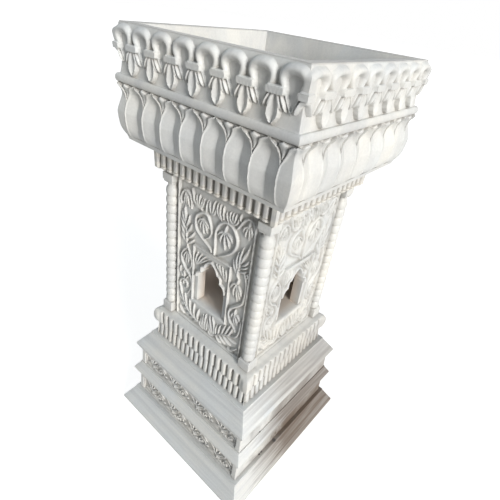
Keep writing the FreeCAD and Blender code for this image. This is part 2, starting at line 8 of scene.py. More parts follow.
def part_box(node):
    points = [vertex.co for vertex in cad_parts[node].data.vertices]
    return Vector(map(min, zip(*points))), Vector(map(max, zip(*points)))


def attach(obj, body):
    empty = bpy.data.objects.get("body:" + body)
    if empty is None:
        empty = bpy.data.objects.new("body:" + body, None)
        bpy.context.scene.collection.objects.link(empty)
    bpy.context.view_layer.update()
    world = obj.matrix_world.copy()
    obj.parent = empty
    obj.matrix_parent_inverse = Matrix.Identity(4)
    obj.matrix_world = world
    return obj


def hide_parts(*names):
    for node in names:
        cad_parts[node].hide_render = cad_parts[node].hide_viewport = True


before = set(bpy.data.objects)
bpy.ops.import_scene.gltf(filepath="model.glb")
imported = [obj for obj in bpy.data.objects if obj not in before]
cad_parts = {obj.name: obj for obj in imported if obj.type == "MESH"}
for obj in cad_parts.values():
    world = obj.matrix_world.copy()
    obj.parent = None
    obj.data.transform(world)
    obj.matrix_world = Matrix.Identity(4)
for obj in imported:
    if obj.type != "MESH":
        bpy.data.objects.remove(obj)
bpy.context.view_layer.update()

# The looks of a carved marble tulsi planter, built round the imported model. Lengths are in millimetres
# until a mesh is made, and in metres in the materials. The front looks along -Y; a side is drawn as the
# front and then turned. Outlines are lists of places, mostly a half width and a height.

MM = 0.001
SIDES = ("front", "right", "back", "left")
CORNERS = ("front_right", "back_right", "back_left", "front_left")
QUARTER = math.pi / 2

# Camera, solved from the photograph's own straight edges
CAMERA_PLACE = (559.05, -746.61, 1281.89)
CAMERA_RIGHT = (0.74520785, 0.65662455, 0.11623022)
CAMERA_UP = (-0.43277845, 0.3436352, 0.83343726)
CAMERA_BACK = (0.50731457, -0.67138592, 0.5402526)
FOCAL_SHARE = 382.8 / 500
SENSOR = 36.0
CLIP_END = 100.0

# Floor, world and lamps. A lamp has its bearing, rise, strength, spread, colour, and whether it shines
# in reflections.
FLOOR = (0.50, 0.49, 0.47, 1.0)
FLOOR_SIZE = 30.0
FLOOR_GLOW = 0.8
FLOOR_ROUGH = 0.9
FLOOR_SHINE = 0.1
WHITE = (1.0, 1.0, 1.0, 1.0)
WORLD_COLOUR = (0.93, 0.97, 1.0, 1.0)
WORLD_LIGHT = 0.07
LAMPS = (
    ("key_right", 19.0, 15.0, 3.4, 22.0, (1.0, 0.985, 0.955), True),
    ("fill_top", 60.0, 76.0, 0.98, 70.0, (0.76, 0.89, 1.0), True),
    ("back_left", -125.0, 3.0, 1.5, 30.0, (1.0, 0.99, 0.98), False),
)

# Rounding, spacing and sharp angles of the meshes
EDGE_ROUND = 1.6
CORNER_ROUND = 1.8
ROUND_STEPS = 4
ROUND_SHARE = 0.45
ARC_STEPS = 3
SHEET_STEP = 9
SUPPORT = 1.2
PLAIN_STEP = 20
CARVED_STEP = 1.25
SQUARE_STEP = 12
CURVE_PARTS = 12
LATHE_SIDES = 48
INSET = 8
SHARP = 40
BLOCK_SHARP = 60
PANEL_SHARP = 58
ROUGH_PANEL_SHARP = 70

# How a relief's hollows are found for their grime and painted shade
HOLLOW_SPAN = 5
EVEN_HOLLOW = 0.35
HOLLOW_REACH = 8
PANEL_HOLLOW_REACH = 6
# Extra grime and painted shade in the sunk fields of the plinth blocks
SUNK_GRIME_AND_SHADE = 0.5

# Strokes of the carving: least half width, and the shares of a leaf's width from its root to its tip
LEAST_WIDTH = 0.3
TINY = 1e-9
STEM_STEP = 3
STEM_ENDS = (0.7, 0.5)
BLADE_STEP = 2.5
BLADE_SHARES = (0.5, 0.9, 1, 0.75, 0.2)
BLADE_POWER = 0.6
CURL_STEPS = 18
CURL_CLOSING = 0.8

# Plinth
BASE_EDGE = 8
STEP = 4
BASE_STEP_HALF = 249
# Slabs, each with the block below it, its step's half width, its edge and the height of its underside
SLABS = (
    ("middle_slab", "lower_frieze_block", 234, 4, 35),
    ("top_plinth_slab", "upper_frieze_block", 206, 5, 31),
)
BLOCK_LEAN = 2
BLOCK_ROUND = 0.8
BLOCK_ROUND_STEPS = 3
BLOCK_STEPS = (1.7, 24, 24, 24)
BLOCK_RISE_STEP = 1.6
BLOCK_FACE = 6
FIELD_SIDE = 18
FIELD_EDGE = 3.2
FIELD_DEPTH = 6.5
FIELD_SOFT = 1
# Line round the field: its inset, half width and height
FIELD_LINE = (3, 1.3, 4.4)

# Scroll of the plinth blocks, in shares of its pitch and of the field's height
SCROLL_COUNT = 4
SCROLL_PITCH = 108
SCROLL_LIMIT = 5.8
SCROLL_STEM = ((0, 0.86), (0.12, 0.9), (0.26, 0.7), (0.38, 0.4), (0.55, 0.12), (0.76, 0.06), (0.93, 0.26),
               (0.9, 0.52), (0.74, 0.6))
SCROLL_STEM_SIZE = (1.7, 4.2)
SCROLL_EYE = (0.77, 0.3)
SCROLL_EYE_SIZE = (3, 6)
DOT = 0.1
# Curl round the eye: its radius as a share, its first angle, its turns, its half width and its height
SCROLL_CURL = (0.2, 100, 1.1, 1.5, 4.4)
SCROLL_LEAVES = (
    ((0.38, 0.44), (0.3, 0.5), (0.22, 0.42)), ((0.36, 0.52), (0.38, 0.74), (0.33, 0.95)),
    ((0.38, 0.5), (0.48, 0.72), (0.5, 0.94)), ((0.4, 0.44), (0.52, 0.56), (0.62, 0.72)),
    ((0.4, 0.4), (0.52, 0.36), (0.6, 0.44)), ((0.38, 0.36), (0.42, 0.2), (0.36, 0.06)),
    ((0.66, 0.72), (0.72, 0.84), (0.7, 0.97)), ((0.6, 0.2), (0.5, 0.14), (0.44, 0.02)),
    ((0.94, 0.3), (1.02, 0.36), (1.08, 0.3)), ((0.8, 0.98), (0.93, 0.82), (1.02, 0.62)),
    ((0.02, 0.14), (0.16, 0.2), (0.33, 0.1)),
)
SCROLL_LEAF_SIZES = ((3.1, 4.8),) * 9 + ((3.6, 5.4), (7, 3))

# Reeded course
REED_HALF = 184
REED_HEIGHT = 49
REED_COUNT = 18
REED_DEPTH = 7.5
REED_SHARE = 0.8
REED_POWER = 3.4
REED_FLARE = (8, 5)
REED_STEP = 1.8
CAP_COUNT = 16
CAP_HEIGHT = 56
CAP_DEPTH = 9.5
CAP_SHARE = 0.82
CAP_POWER = 2.6
CAP_ROUND = 9
CAP_LEAST = 0.02
CAP_SOFT = 0.6
GAP_SLOPE = 11
CORNER_SWELL = 5
CORNER_SWELL_LINE = (REED_HALF - 12, REED_HALF + 2)
# Each cap's foot and head: how far it stands out, and how far along it that is
CAP_FOOT_LINE = ((6.5, 0), (8, 1.6), (9.6, 4), (10.6, 8), (11, 13))
CAP_HEAD_LINE = ((0, 0), (5, 1.2), (8.4, 3.6), (10.2, 7.6), (11, 13))
LEDGE_HALF = 178
LEDGE_RISE = 1.5
RELIEF_END = 0.8

# Shaft
PANEL_HALF = 166
PANEL_INNER = 130
PANEL_EDGE = 140
PANEL_STEP = 1.75
MARGIN_DEPTH = 9
GROUND_DEPTH = 7
CARVE = 7
CARVE_LIMIT = GROUND_DEPTH + 0.6
BORDER = (126, 130)
BORDER_EDGE = 4
BORDER_SOFT = 0.6
LIP_SOFT = 0.8
CARVED_CLEAR = (125.5, 123.5)
SILL = 551
WINDOW_HALF = 50
WINDOW_STEPS = 8
CUTTER_REACH = 20
SPRING = 639
ARCH_HEIGHT = 67
# Cusps and the bends between them, in shares of the window's half width and the arch's height
CUSPS = ((0.66, 0.33), (0.46, 0.62), (0, 1))
BENDS = ((1, 0.28), (0.72, 0.66), (0.38, 0.9))
FRAME_LINE = (66, 543, 734)
# Half widths of the window frame, of the line along the arch and of the sill's line
FRAME_WIDTHS = (2.4, 3.4, 4)
FRAME_POWER = 0.4
SILL_POWER = 0.3
SILL_RISE = 3
ARCH_MARGIN = 4
ARCH_FOOT = SILL - 2

# Columns. The lines of the blocks are insets with heights over the foot, or over the capital's foot.
RING_COUNT = 15
RING_PARTS = 10
RING_GROOVE = 3.6
RING_POWER = 0.55
COLUMN_RADIUS = 17.8
NECK_RADIUS = 12.5
NECK = 12
NECK_PARTS = 8
NECK_POWER = 0.7
TUCK = 1
NECK_TUCK = 1.5
BLOCK_HALF = 19
COLUMN_ROUND = 1.2
FOOT_BLOCK = 31
FOOT_LINE = ((6, 0), (0, 0), (0, 26), (2.5, 28), (2.5, 31), (8, 31))
CAPITAL = 25
CAPITAL_LINE = ((8, 0), (2.5, 0), (2.5, 4), (0, 7), (0, 25), (6, 25))

# Dentil band
DENTIL_COUNT = 15
DENTIL_PITCH = 23.24
DENTIL_RING = 179
DENTIL_DEPTH = 11
DENTIL_HALF = 7.4
DENTIL_POWER = 5
DENTIL_SOFT = 1
CUP_HALF = 9.8
CUP_FOOT = 911
CUP_TOP = 921
CUP_LIP = 1.4
CUP_POWER = 3
CUP_SOFT = 0.8
CUP_SWELL = 1.25
CUP_FOOT_SHARE = 0.35
CORNER_INNER = 177
CORNER_SOFT = 0.7
BLOCK_LINE = ((903, 914, 977), (178, 191.5, 193.5))
RING_LINE = ((903, 911), (170, 179))
CHAMBER = 118
BAND_RISE_STEP = 1.5
BAND_FLAT_STEP = 40

# Planter box
CAVITY = 213
WALL_SUPPORT = 3
UNDER_SUPPORT = 2
RIM_EDGE = 2.5
RIM_ROUND = 0.7
UNDER_POINTS = 3
OVER_POINTS = 5
PITCH = 62
HALF_COUNT = 4
LAST_PETAL = 3.5
BAND_LINE = ((243, 1103), (246.6, 1104.6), (249, 1109), (249.2, 1114), (247.8, 1118.6),
             (245.4, 1121))
BAND_STEP = 1.6

# Lotus course
LOTUS_LINE = (
    (235, 987), (238.5, 991), (246, 1008), (249.4, 1036), (248.2, 1048), (244.6, 1062),
    (240.8, 1078), (242, 1088), (246.6, 1096), (247.6, 1099.5), (245.5, 1103),
)
LOTUS_STEP = 1.5
# Heights, with half the width of a petal and of the bud beside it
PETAL_EDGE = ((1062, 1070, 1078, 1086, 1092, 1096.5, 1100, 1102),
              (31, 29.4, 26, 22, 19.2, 15.5, 9.5, 3))
BUD_EDGE = ((1072, 1080, 1087, 1093, 1097.5, 1101, 1103),
            (0.3, 4.8, 8.6, 10.8, 10.4, 7.5, 2.5))
PETAL_DEPTH = 9.5
PETAL_FOOT = (986, 1014)
PETAL_FOOT_SHARE = 0.25
PETAL_TAPER = 0.6
PETAL_POWER = 1.1
CORNER_PETAL_DEPTH = 0.8
RIM_RISE = 1.5
RIM_GAIN = 1.2
RIM_GAIN_LINE = (1066, 1094)
RIM_WIDTHS = (1.2, 2.6)
RIM_WIDTH_LINE = (1056, 1094)
CREST_SHARE = 0.6
CREST_LINE = (1060, 1074)
RIM_END = (1103, 1099)
GAP_DEPTH = 7.5
BUD_RISE = 1.4
BUD_SIDE = (0.2, -0.9)
BUD_FOOT = (1063, 1067)

# Frieze of loops
FRIEZE_GROUND = ((242, 1121), (240, 1126), (237.5, 1150), (238.5, 1190), (240.5, 1206),
                 (239.6, 1215), (238, 1220))
FRIEZE_STEP = 1.3
FRIEZE_FOOT = (1121.3, 1122.6)
FRIEZE_HEAD = (1219.5, 1214)
FRIEZE_END = (HALF_COUNT * PITCH + 2, HALF_COUNT * PITCH - 2)
LOOP_HALF = ((0, 1145), (3.6, 1151), (8, 1159), (12, 1168), (15.2, 1176), (19, 1184), (21.8, 1192),
             (20.4, 1199.4), (12.6, 1206.4), (0, 1208.6))
LOOP_WIDTHS = (1.6, 2.2, 2.8, 4, 6.4, 8.4, 8.8, 8.8, 8.8)
LOOP_RISE = 10
LOOP_POWER = 0.75
LINE_STEP = 2
# Hollow inside a loop: its half width, middle and half height
BOWL = (15.5, 1177, 33)
BOWL_DEPTH = 7
BOWL_POWER = 0.7
SCALLOP_HALF = 24
SCALLOP_LINE = (1154, 1143)
SCALLOP_DEPTH = 6.5
TIE = (1168.5, 1182)
TIE_HALF = 18.8
TIE_RISE = 11.8
TIE_CORNER = 0.7
TIE_SOFT = (0.7, -0.9)
# Marks on a tie: their height, where they end, and the rates of their waves across and up it
TIE_MARKS = 0.45
TIE_MARKS_END = (16, 14)
TIE_ACROSS = (1.25, 1.3, 0.9)
TIE_UP = (1.35, 0.4)
# Lines of the leaflets beside the almond leaf, each with its half width
LEAFLETS = (
    (((10.8, 1169.5), (15.8, 1161), (19.4, 1154), (22.4, 1147)), 3.6),
    (((5, 1169.5), (8.6, 1161), (11.8, 1153.5), (14.6, 1147)), 3.5),
)
LEAFLET_SHARES = (0.65, 0.95, 1, 0.85, 0.35)
LEAFLET_ROOM = 0.6
ROOM_POWER = 0.1
LEAFLET_RISE = 10.6
# Heights, with half the width of an almond leaf
ALMOND_EDGE = ((1122.5, 1128, 1135, 1143, 1151, 1160, 1171),
               (0.4, 6.2, 11, 12.6, 11.4, 7.6, 3))
ALMOND_RISE = 11.2
ALMOND_DEPTH = 7
ALMOND_POWER = 0.85
ALMOND_SIDE = (-0.5, 0.9)
ALMOND_FOOT = (1121.5, 1123.5)
ALMOND_HEAD = (1173, 1171)

# Carving of the panels: half widths, and lines of places across and up the face of the front panel
STEMS = (
    (4.2, (-2, 742, -9, 751, -28, 761, -47, 772, -61, 785, -65, 805, -60, 824, -42, 838, -25, 839, -16, 826,
          -9, 809, -7, 796, -14, 782, -28, 770)),
    (4.2, (7, 740, 7, 764, 6, 788, 9, 813, 19, 834, 34, 845, 48, 847, 61, 842, 72, 829, 78, 812, 74, 791, 62,
          773, 41, 755, 19, 740)),
    (3.6, (-82, 888, -76, 872, -73, 860, -62, 853, -52, 850, -42, 842)),
    (3.2, (-120, 834, -122, 852, -108, 874, -90, 870, -82, 852, -83, 832)),
    (3.0, (-74, 870, -66, 851, -52, 848, -42, 857, -38, 876)),
    (3.8, (74, 846, 84, 862, 94, 877, 106, 885, 117, 883, 124, 870, 125, 852, 123, 838)),
    (3.0, (49, 878, 51, 859, 62, 853, 73, 860, 75, 876)),
    (3.8, (-92, 712, -103, 701, -115, 680, -112, 660, -98, 640, -80, 627, -70, 609, -72, 582, -88, 554)),
    (3.4, (-90, 712, -80, 696, -72, 677, -74, 659, -86, 642)),
    (3.0, (-119, 566, -119, 582, -110, 596, -96, 598, -87, 588, -92, 574, -101, 572)),
    (4.4, (112, 738, 121, 712, 122, 680, 117, 650, 98, 628, 80, 608, 76, 588, 83, 566, 98, 552, 106, 540)),
    (3.0, (122, 592, 120, 558, 113, 532, 98, 518, 80, 514)),
    (2.8, (-29, 478, -64, 488, -94, 512, -118, 562)),
    (2.6, (28, 472, 56, 496, 82, 512, 104, 520)),
    (2.8, (116, 738, 123, 742, 123, 732, 117, 730)),
)
# Leaves, each with its half width, root, middle and tip
BLADES = (
    # flower and cup at the upper left
    (3.4, -104, 872, -107, 852, -112, 836), (3.4, -98, 870, -94, 848, -89, 830),
    (3.0, -101, 870, -101, 850, -100, 834), (3.0, -57, 850, -62, 864, -66, 880),
    (3.0, -54, 850, -54, 866, -54, 882), (3.0, -51, 850, -46, 862, -43, 878),
    # flower in the left loop
    (3.6, -38, 822, -46, 806, -44, 788), (3.8, -37, 820, -36, 800, -34, 779),
    (3.6, -36, 820, -26, 804, -22, 786), (3.0, -36, 821, -22, 813, -14, 801),
    (3.2, -40, 823, -52, 814, -56, 800),
    # bud and petals in the right loop
    (5.0, 42, 840, 38, 826, 36, 814), (3.8, 34, 820, 22, 813, 14, 801), (4.0, 35, 818, 26, 802, 24, 784),
    (4.4, 37, 817, 38, 796, 41, 768), (4.0, 40, 818, 50, 802, 54, 782), (3.8, 41, 820, 56, 814, 64, 800),
    # sprays over the loops
    (3.4, -10, 845, -16, 860, -20, 878), (3.8, -8, 845, -6, 862, -4, 886), (3.2, -8, 845, 1, 856, 3, 872),
    (3.8, 20, 846, 9, 862, 6, 886), (3.4, 23, 845, 17, 864, 16, 886), (3.2, 30, 850, 28, 866, 26, 884),
    (3.2, 46, 850, 41, 862, 37, 876), (3.0, 60, 855, 58, 868, 57, 882), (3.0, 64, 855, 66, 868, 67, 882),
    (3.6, -30, 846, -28, 860, -26, 878), (3.4, 82, 868, 80, 878, 80, 888),
    # flower at the upper right
    (4.6, 110, 882, 108, 872, 106, 862), (3.6, 104, 867, 95, 858, 91, 844),
    (3.8, 106, 865, 101, 850, 100, 834), (3.8, 109, 865, 111, 850, 110, 832),
    (3.4, 112, 866, 118, 856, 118, 842),
    # feather leaf at the left
    (4.0, -96, 726, -108, 736, -119, 752), (4.0, -98, 744, -110, 756, -121, 774),
    (4.0, -100, 762, -111, 776, -121, 796), (4.0, -101, 780, -110, 796, -117, 816),
    (4.2, -93, 724, -80, 734, -68, 748), (4.2, -94, 740, -80, 752, -68, 770),
    (4.2, -96, 756, -85, 772, -77, 792), (4.0, -99, 774, -92, 792, -88, 812),
    (4.0, -101, 786, -104, 806, -108, 830), (3.2, -93, 712, -95, 740, -100, 782),
    # feather leaf at the right
    (4.4, 89, 722, 78, 742, 73, 764), (4.8, 88, 732, 83, 762, 87, 792), (4.6, 92, 746, 93, 776, 99, 808),
    (4.6, 97, 762, 107, 790, 118, 814), (4.0, 100, 756, 112, 767, 122, 784),
    (3.8, 97, 746, 110, 754, 122, 766), (3.6, 93, 736, 106, 741, 120, 750),
    (3.4, 104, 776, 114, 804, 121, 832), (3.4, 97, 712, 90, 726, 94, 756),
    # flowers beside the left vine
    (3.4, -95, 697, -103, 684, -105, 668), (3.6, -93, 695, -94, 678, -98, 658),
    (3.4, -91, 695, -86, 680, -86, 660), (3.0, -90, 696, -81, 686, -79, 670),
    (3.2, -104, 606, -110, 613, -118, 616), (3.2, -100, 606, -101, 617, -106, 628),
    (3.2, -97, 604, -89, 611, -85, 620), (3.0, -103, 594, -103, 586, -106, 578),
    (3.2, -116, 640, -119, 628, -118, 614),
    # flowers beside the right vine
    (5.0, 97, 714, 94, 703, 92, 694), (4.0, 88, 697, 78, 688, 71, 672), (4.2, 90, 694, 84, 674, 86, 652),
    (4.6, 93, 692, 95, 668, 99, 642), (4.2, 97, 694, 106, 681, 111, 662), (3.2, 96, 692, 101, 676, 107, 652),
    (4.6, 98, 616, 97, 602, 94, 592), (3.4, 93, 604, 88, 594, 87, 580), (4.0, 97, 600, 103, 584, 110, 566),
    (3.8, 100, 602, 111, 596, 116, 582), (3.4, 96, 596, 96, 580, 101, 564),
    # feather leaf at the lower left
    (4.6, -40, 484, -41, 502, -36, 526), (4.8, -54, 487, -57, 508, -56, 536),
    (4.4, -68, 492, -74, 516, -77, 544), (4.2, -84, 503, -92, 526, -99, 550),
    (3.6, -50, 485, -64, 480, -78, 472), (3.6, -63, 489, -79, 486, -94, 480),
    (3.6, -77, 497, -91, 496, -106, 494), (3.4, -89, 507, -102, 508, -115, 510),
    (3.2, -99, 518, -109, 524, -120, 532), (3.8, -108, 536, -114, 556, -120, 578),
    (3.2, -98, 470, -110, 480, -120, 492), (3.4, -36, 480, -50, 474, -62, 466),
    # fan and blades at the middle of the foot
    (4.0, -11, 468, -21, 486, -26, 508), (4.2, -8, 468, -15, 492, -17, 522),
    (4.2, -5, 468, -7, 494, -7, 528), (4.0, -1, 468, 2, 488, 0, 512), (3.6, -13, 466, -28, 476, -30, 494),
    (4.2, 26, 468, 13, 486, 7, 510), (4.8, 27, 472, 16, 500, 7, 532), (4.8, 29, 474, 29, 504, 18, 536),
    (3.4, 24, 466, 12, 468, 6, 480),
    # feather leaf at the lower right
    (4.2, 37, 480, 36, 500, 39, 520), (4.4, 47, 489, 48, 508, 52, 528), (4.6, 58, 497, 64, 520, 71, 544),
    (4.6, 70, 505, 78, 528, 87, 554), (4.2, 83, 513, 91, 532, 98, 552), (4.2, 50, 490, 62, 480, 75, 470),
    (4.6, 62, 498, 79, 488, 97, 480), (4.4, 76, 508, 95, 503, 115, 502), (3.6, 38, 478, 48, 468, 60, 462),
    (3.6, 99, 468, 110, 478, 120, 490), (3.4, 84, 466, 94, 464, 106, 464),
    # leaves over the arch
    (3.6, -55, 676, -56, 696, -52, 718), (3.8, -52, 679, -46, 699, -38, 718),
    (3.8, -48, 683, -36, 701, -23, 718), (3.2, -42, 686, -28, 700, -11, 714),
    (3.8, 55, 680, 56, 700, 50, 719), (3.8, 51, 682, 46, 701, 37, 718), (3.6, 46, 687, 36, 704, 25, 718),
    (3.0, 40, 692, 30, 705, 16, 717),
)


# Lines and profiles


def spaced(points, step=SHEET_STEP):
    """The same line with its long runs divided, and a short run kept at each end of a long one."""
    line = [points[0]]
    for start, end in zip(points[:-1], points[1:]):
        length = float(np.linalg.norm(end - start))
        if length > 3 * SUPPORT:
            inner = max(1, round((length - 2 * SUPPORT) / step))
            places = [SUPPORT + (length - 2 * SUPPORT) * count / inner for count in range(inner + 1)]
            line += [start + (end - start) * place / length for place in places]
        line.append(end)
    return np.array(line)


def divided(line, step, flat_step, least_rise=0.0):
    """The same line in short even runs, with another step for the runs that hardly rise."""
    points = [np.array(line[0], float)]
    for start, end in zip(line[:-1], line[1:]):
        start, end = np.array(start), np.array(end)
        run = step if abs(end[1] - start[1]) > least_rise else flat_step
        count = max(1, round(float(np.linalg.norm(end - start)) / run))
        points += [start + (end - start) * part / count for part in range(1, count + 1)]
    return np.array(points)


def bent(start, middle, end, share):
    """A place on the curve from start to end that bends towards the middle."""
    return (1 - share) ** 2 * start + 2 * share * (1 - share) * middle + share ** 2 * end


def softened(corners, radius=EDGE_ROUND, steps=ROUND_STEPS):
    """A line with each inner corner rounded."""
    corners = [np.array(corner, float) for corner in corners]
    line = [corners[0]]
    for before, corner, after in zip(corners, corners[1:], corners[2:]):
        back = before - corner
        ahead = after - corner
        reach = min(radius, ROUND_SHARE * np.linalg.norm(back), ROUND_SHARE * np.linalg.norm(ahead))
        start = corner + back / np.linalg.norm(back) * reach
        end = corner + ahead / np.linalg.norm(ahead) * reach
        line += [bent(start, corner, end, step / steps) for step in range(steps + 1)]
    line.append(corners[-1])
    return np.array(line)


def flowing(points, step):
    """A smooth line through the points, sampled at an even step."""
    points = np.array(points, float)
    ends = np.vstack([2 * points[0] - points[1], points, 2 * points[-1] - points[-2]])
    fine = []
    for a, b, c, d in zip(ends, ends[1:], ends[2:], ends[3:]):
        for share in np.linspace(0, 1, CURVE_PARTS, endpoint=False):
            fine.append(0.5 * (2 * b + (c - a) * share + (2 * a - 5 * b + 4 * c - d) * share ** 2
                               + (3 * b - 3 * c + d - a) * share ** 3))
    fine.append(points[-1])
    fine = np.array(fine)
    along = lengths_along(fine)
    places = np.linspace(0, along[-1], max(2, round(along[-1] / step)) + 1)
    return np.stack([np.interp(places, along, fine[:, axis]) for axis in range(2)], axis=1)


def lengths_along(line):
    """The length of a line up to each of its points."""
    return np.concatenate([[0], np.cumsum(np.linalg.norm(np.diff(line, axis=0), axis=1))])


def blend(low, high, value):
    """0 below low, 1 above high and a smooth rise between."""
    share = np.clip((value - low) / (high - low), 0, 1)
    return share * share * (3 - 2 * share)


# Meshes


def placed(name, data):
    """A new object with its data, put into the scene."""
    made = bpy.data.objects.new(name, data)
    bpy.context.scene.collection.objects.link(made)
    return made


def make_object(name, points, quads, loose=(), hollow=None, sharp=SHARP):
    """A mesh object from points in millimetres, four-sided faces and other faces."""
    mesh = bpy.data.meshes.new(name)
    faces = [tuple(face) for face in quads.tolist()] + [tuple(face) for face in loose]
    mesh.from_pydata((points * MM).tolist(), [], faces)
    if hollow is not None:
        mesh.attributes.new("hollow", "FLOAT", "POINT").data.foreach_set("value", hollow.astype(np.float32))
    mesh.validate()
    mesh.shade_smooth()
    mesh.set_sharp_from_angle(angle=math.radians(sharp))
    return placed(name, mesh)


def grid_quads(rows, columns, close_rows=False, close_columns=False):
    """Faces of a grid of points, each row running left to right and the rows upwards."""
    numbers = np.arange(rows * columns).reshape(rows, columns)
    if close_rows:
        numbers = np.vstack([numbers, numbers[:1]])
    if close_columns:
        numbers = np.hstack([numbers, numbers[:, :1]])
    corners = (numbers[:-1, :-1], numbers[:-1, 1:], numbers[1:, 1:], numbers[1:, :-1])
    return np.stack([corner.ravel() for corner in corners], axis=1)


def end_caps(rows, columns):
    """The bottom and top faces of a stack of closed rows."""
    return [tuple(reversed(range(columns))), tuple(range((rows - 1) * columns, rows * columns))]


def flat(x, z):
    return np.zeros_like(x)


def side_sheet(profile, step, relief=flat, corner=CORNER_ROUND):
    """Points of one side from the middle of its left corner to the middle of its right corner."""
    half = profile[:, 0][:, None]
    height = profile[:, 1][:, None]
    straight = np.linspace(-1, 1, max(2, round(2 * profile[:, 0].max() / step)) + 1)[None, :]
    run = half - corner
    turn = np.linspace(0, QUARTER / 2, ARC_STEPS + 1)[1:]
    x_flat = straight * run
    arc_x = corner * np.sin(turn)[None, :]
    arc_y = corner * (1 - np.cos(turn))[None, :]
    reach = run + corner * turn[None, :]
    x = np.hstack([-(run + arc_x)[:, ::-1], x_flat, run + arc_x])
    y = np.hstack([-(half - arc_y)[:, ::-1], -half + 0 * x_flat, -(half - arc_y)])
    place = np.hstack([-reach[:, ::-1], x_flat, reach])
    z = height + 0 * x
    rise = relief(place, z)
    lean = np.concatenate([-np.tan(turn)[::-1], 0 * straight[0], np.tan(turn)])[None, :]
    return np.stack([x + rise * lean, y - rise, z], axis=2), rise


def turn_points(points, quarter):
    """Points turned about the centre line by quarters of a turn."""
    angle = QUARTER * quarter
    c, s = round(math.cos(angle)), round(math.sin(angle))
    turned = points.copy()
    turned[..., 0] = points[..., 0] * c - points[..., 1] * s
    turned[..., 1] = points[..., 0] * s + points[..., 1] * c
    return turned


def hollow_share(rise, reach=HOLLOW_REACH, sunk=0.0):
    """How far each point of a relief lies below what is round it, from 0 to 1."""
    padded = np.pad(rise, HOLLOW_SPAN, mode="edge")
    total = np.zeros_like(rise)
    width = 2 * HOLLOW_SPAN + 1
    for dz in range(width):
        for dx in range(width):
            total += padded[dz:dz + rise.shape[0], dx:dx + rise.shape[1]]
    mean = total / width ** 2
    below = sunk * np.clip(-rise / FIELD_DEPTH, 0, 1)
    return np.clip(EVEN_HOLLOW + (mean - rise) / reach + below, 0, 1)


def ring_piece(name, profile, steps, reliefs=(flat,) * 4, closed=False, sharp=SHARP, sunk=0.0):
    """A course of one profile run round all four sides, solid through its middle unless it is closed."""
    sheets = []
    shares = []
    for quarter in range(4):
        points, rise = side_sheet(profile, steps[quarter], reliefs[quarter])
        sheets.append(turn_points(points, quarter)[:, :-1])
        shares.append(hollow_share(rise, sunk=sunk)[:, :-1])
    grid = np.hstack(sheets)
    hollow = np.hstack(shares).ravel()
    rows, columns = grid.shape[:2]
    points = grid.reshape(-1, 3)
    fans = []
    if not closed:
        top = rows * columns
        foot = top + 1
        last = (rows - 1) * columns
        points = np.vstack([points, [[0, 0, profile[-1, 1]], [0, 0, profile[0, 1]]]])
        hollow = np.concatenate([hollow, [EVEN_HOLLOW, EVEN_HOLLOW]])
        for place in range(columns):
            after = (place + 1) % columns
            fans.append((last + place, last + after, top))
            fans.append((after, place, foot))
    return make_object(name, points, grid_quads(rows, columns, closed, True), fans, hollow, sharp)


def wall_piece(name, profile, relief, quarter):
    """One mitred wall of the planter box from its closed profile."""
    grid, rise = side_sheet(profile, CARVED_STEP, relief)
    hollow = hollow_share(rise).ravel()
    rows, columns = grid.shape[:2]
    points = turn_points(grid, quarter).reshape(-1, 3)
    left = tuple(row * columns for row in range(rows))
    right = tuple(row * columns + columns - 1 for row in reversed(range(rows)))
    return make_object(name, points, grid_quads(rows, columns, True), [left, right], hollow)


def lathe(profile, centre):
    """Points and faces of a round form turned about an upright line."""
    angles = np.linspace(0, 2 * math.pi, LATHE_SIDES, endpoint=False)
    x = centre[0] + profile[:, 0][:, None] * np.cos(angles)[None, :]
    y = centre[1] + profile[:, 0][:, None] * np.sin(angles)[None, :]
    z = profile[:, 1][:, None] + 0 * x
    points = np.stack([x, y, z], axis=2).reshape(-1, 3)
    rows = len(profile)
    return points, grid_quads(rows, LATHE_SIDES, False, True), end_caps(rows, LATHE_SIDES)


def square_form(profile, centre):
    """Points and faces of a small square form about an upright line."""
    sheets = [turn_points(side_sheet(profile, SQUARE_STEP)[0], quarter)[:, :-1] for quarter in range(4)]
    grid = np.hstack(sheets)
    rows, columns = grid.shape[:2]
    points = grid.reshape(-1, 3) + np.array([centre[0], centre[1], 0])
    return points, grid_quads(rows, columns, False, True), end_caps(rows, columns)


def joined(name, forms):
    """One object from several closed forms."""
    points, quads, caps = [], [], []
    base = 0
    for form_points, form_quads, form_caps in forms:
        points.append(form_points)
        quads.append(form_quads + base)
        caps += [tuple(number + base for number in cap) for cap in form_caps]
        base += len(form_points)
    return make_object(name, np.vstack(points), np.vstack(quads), caps)


# Carving


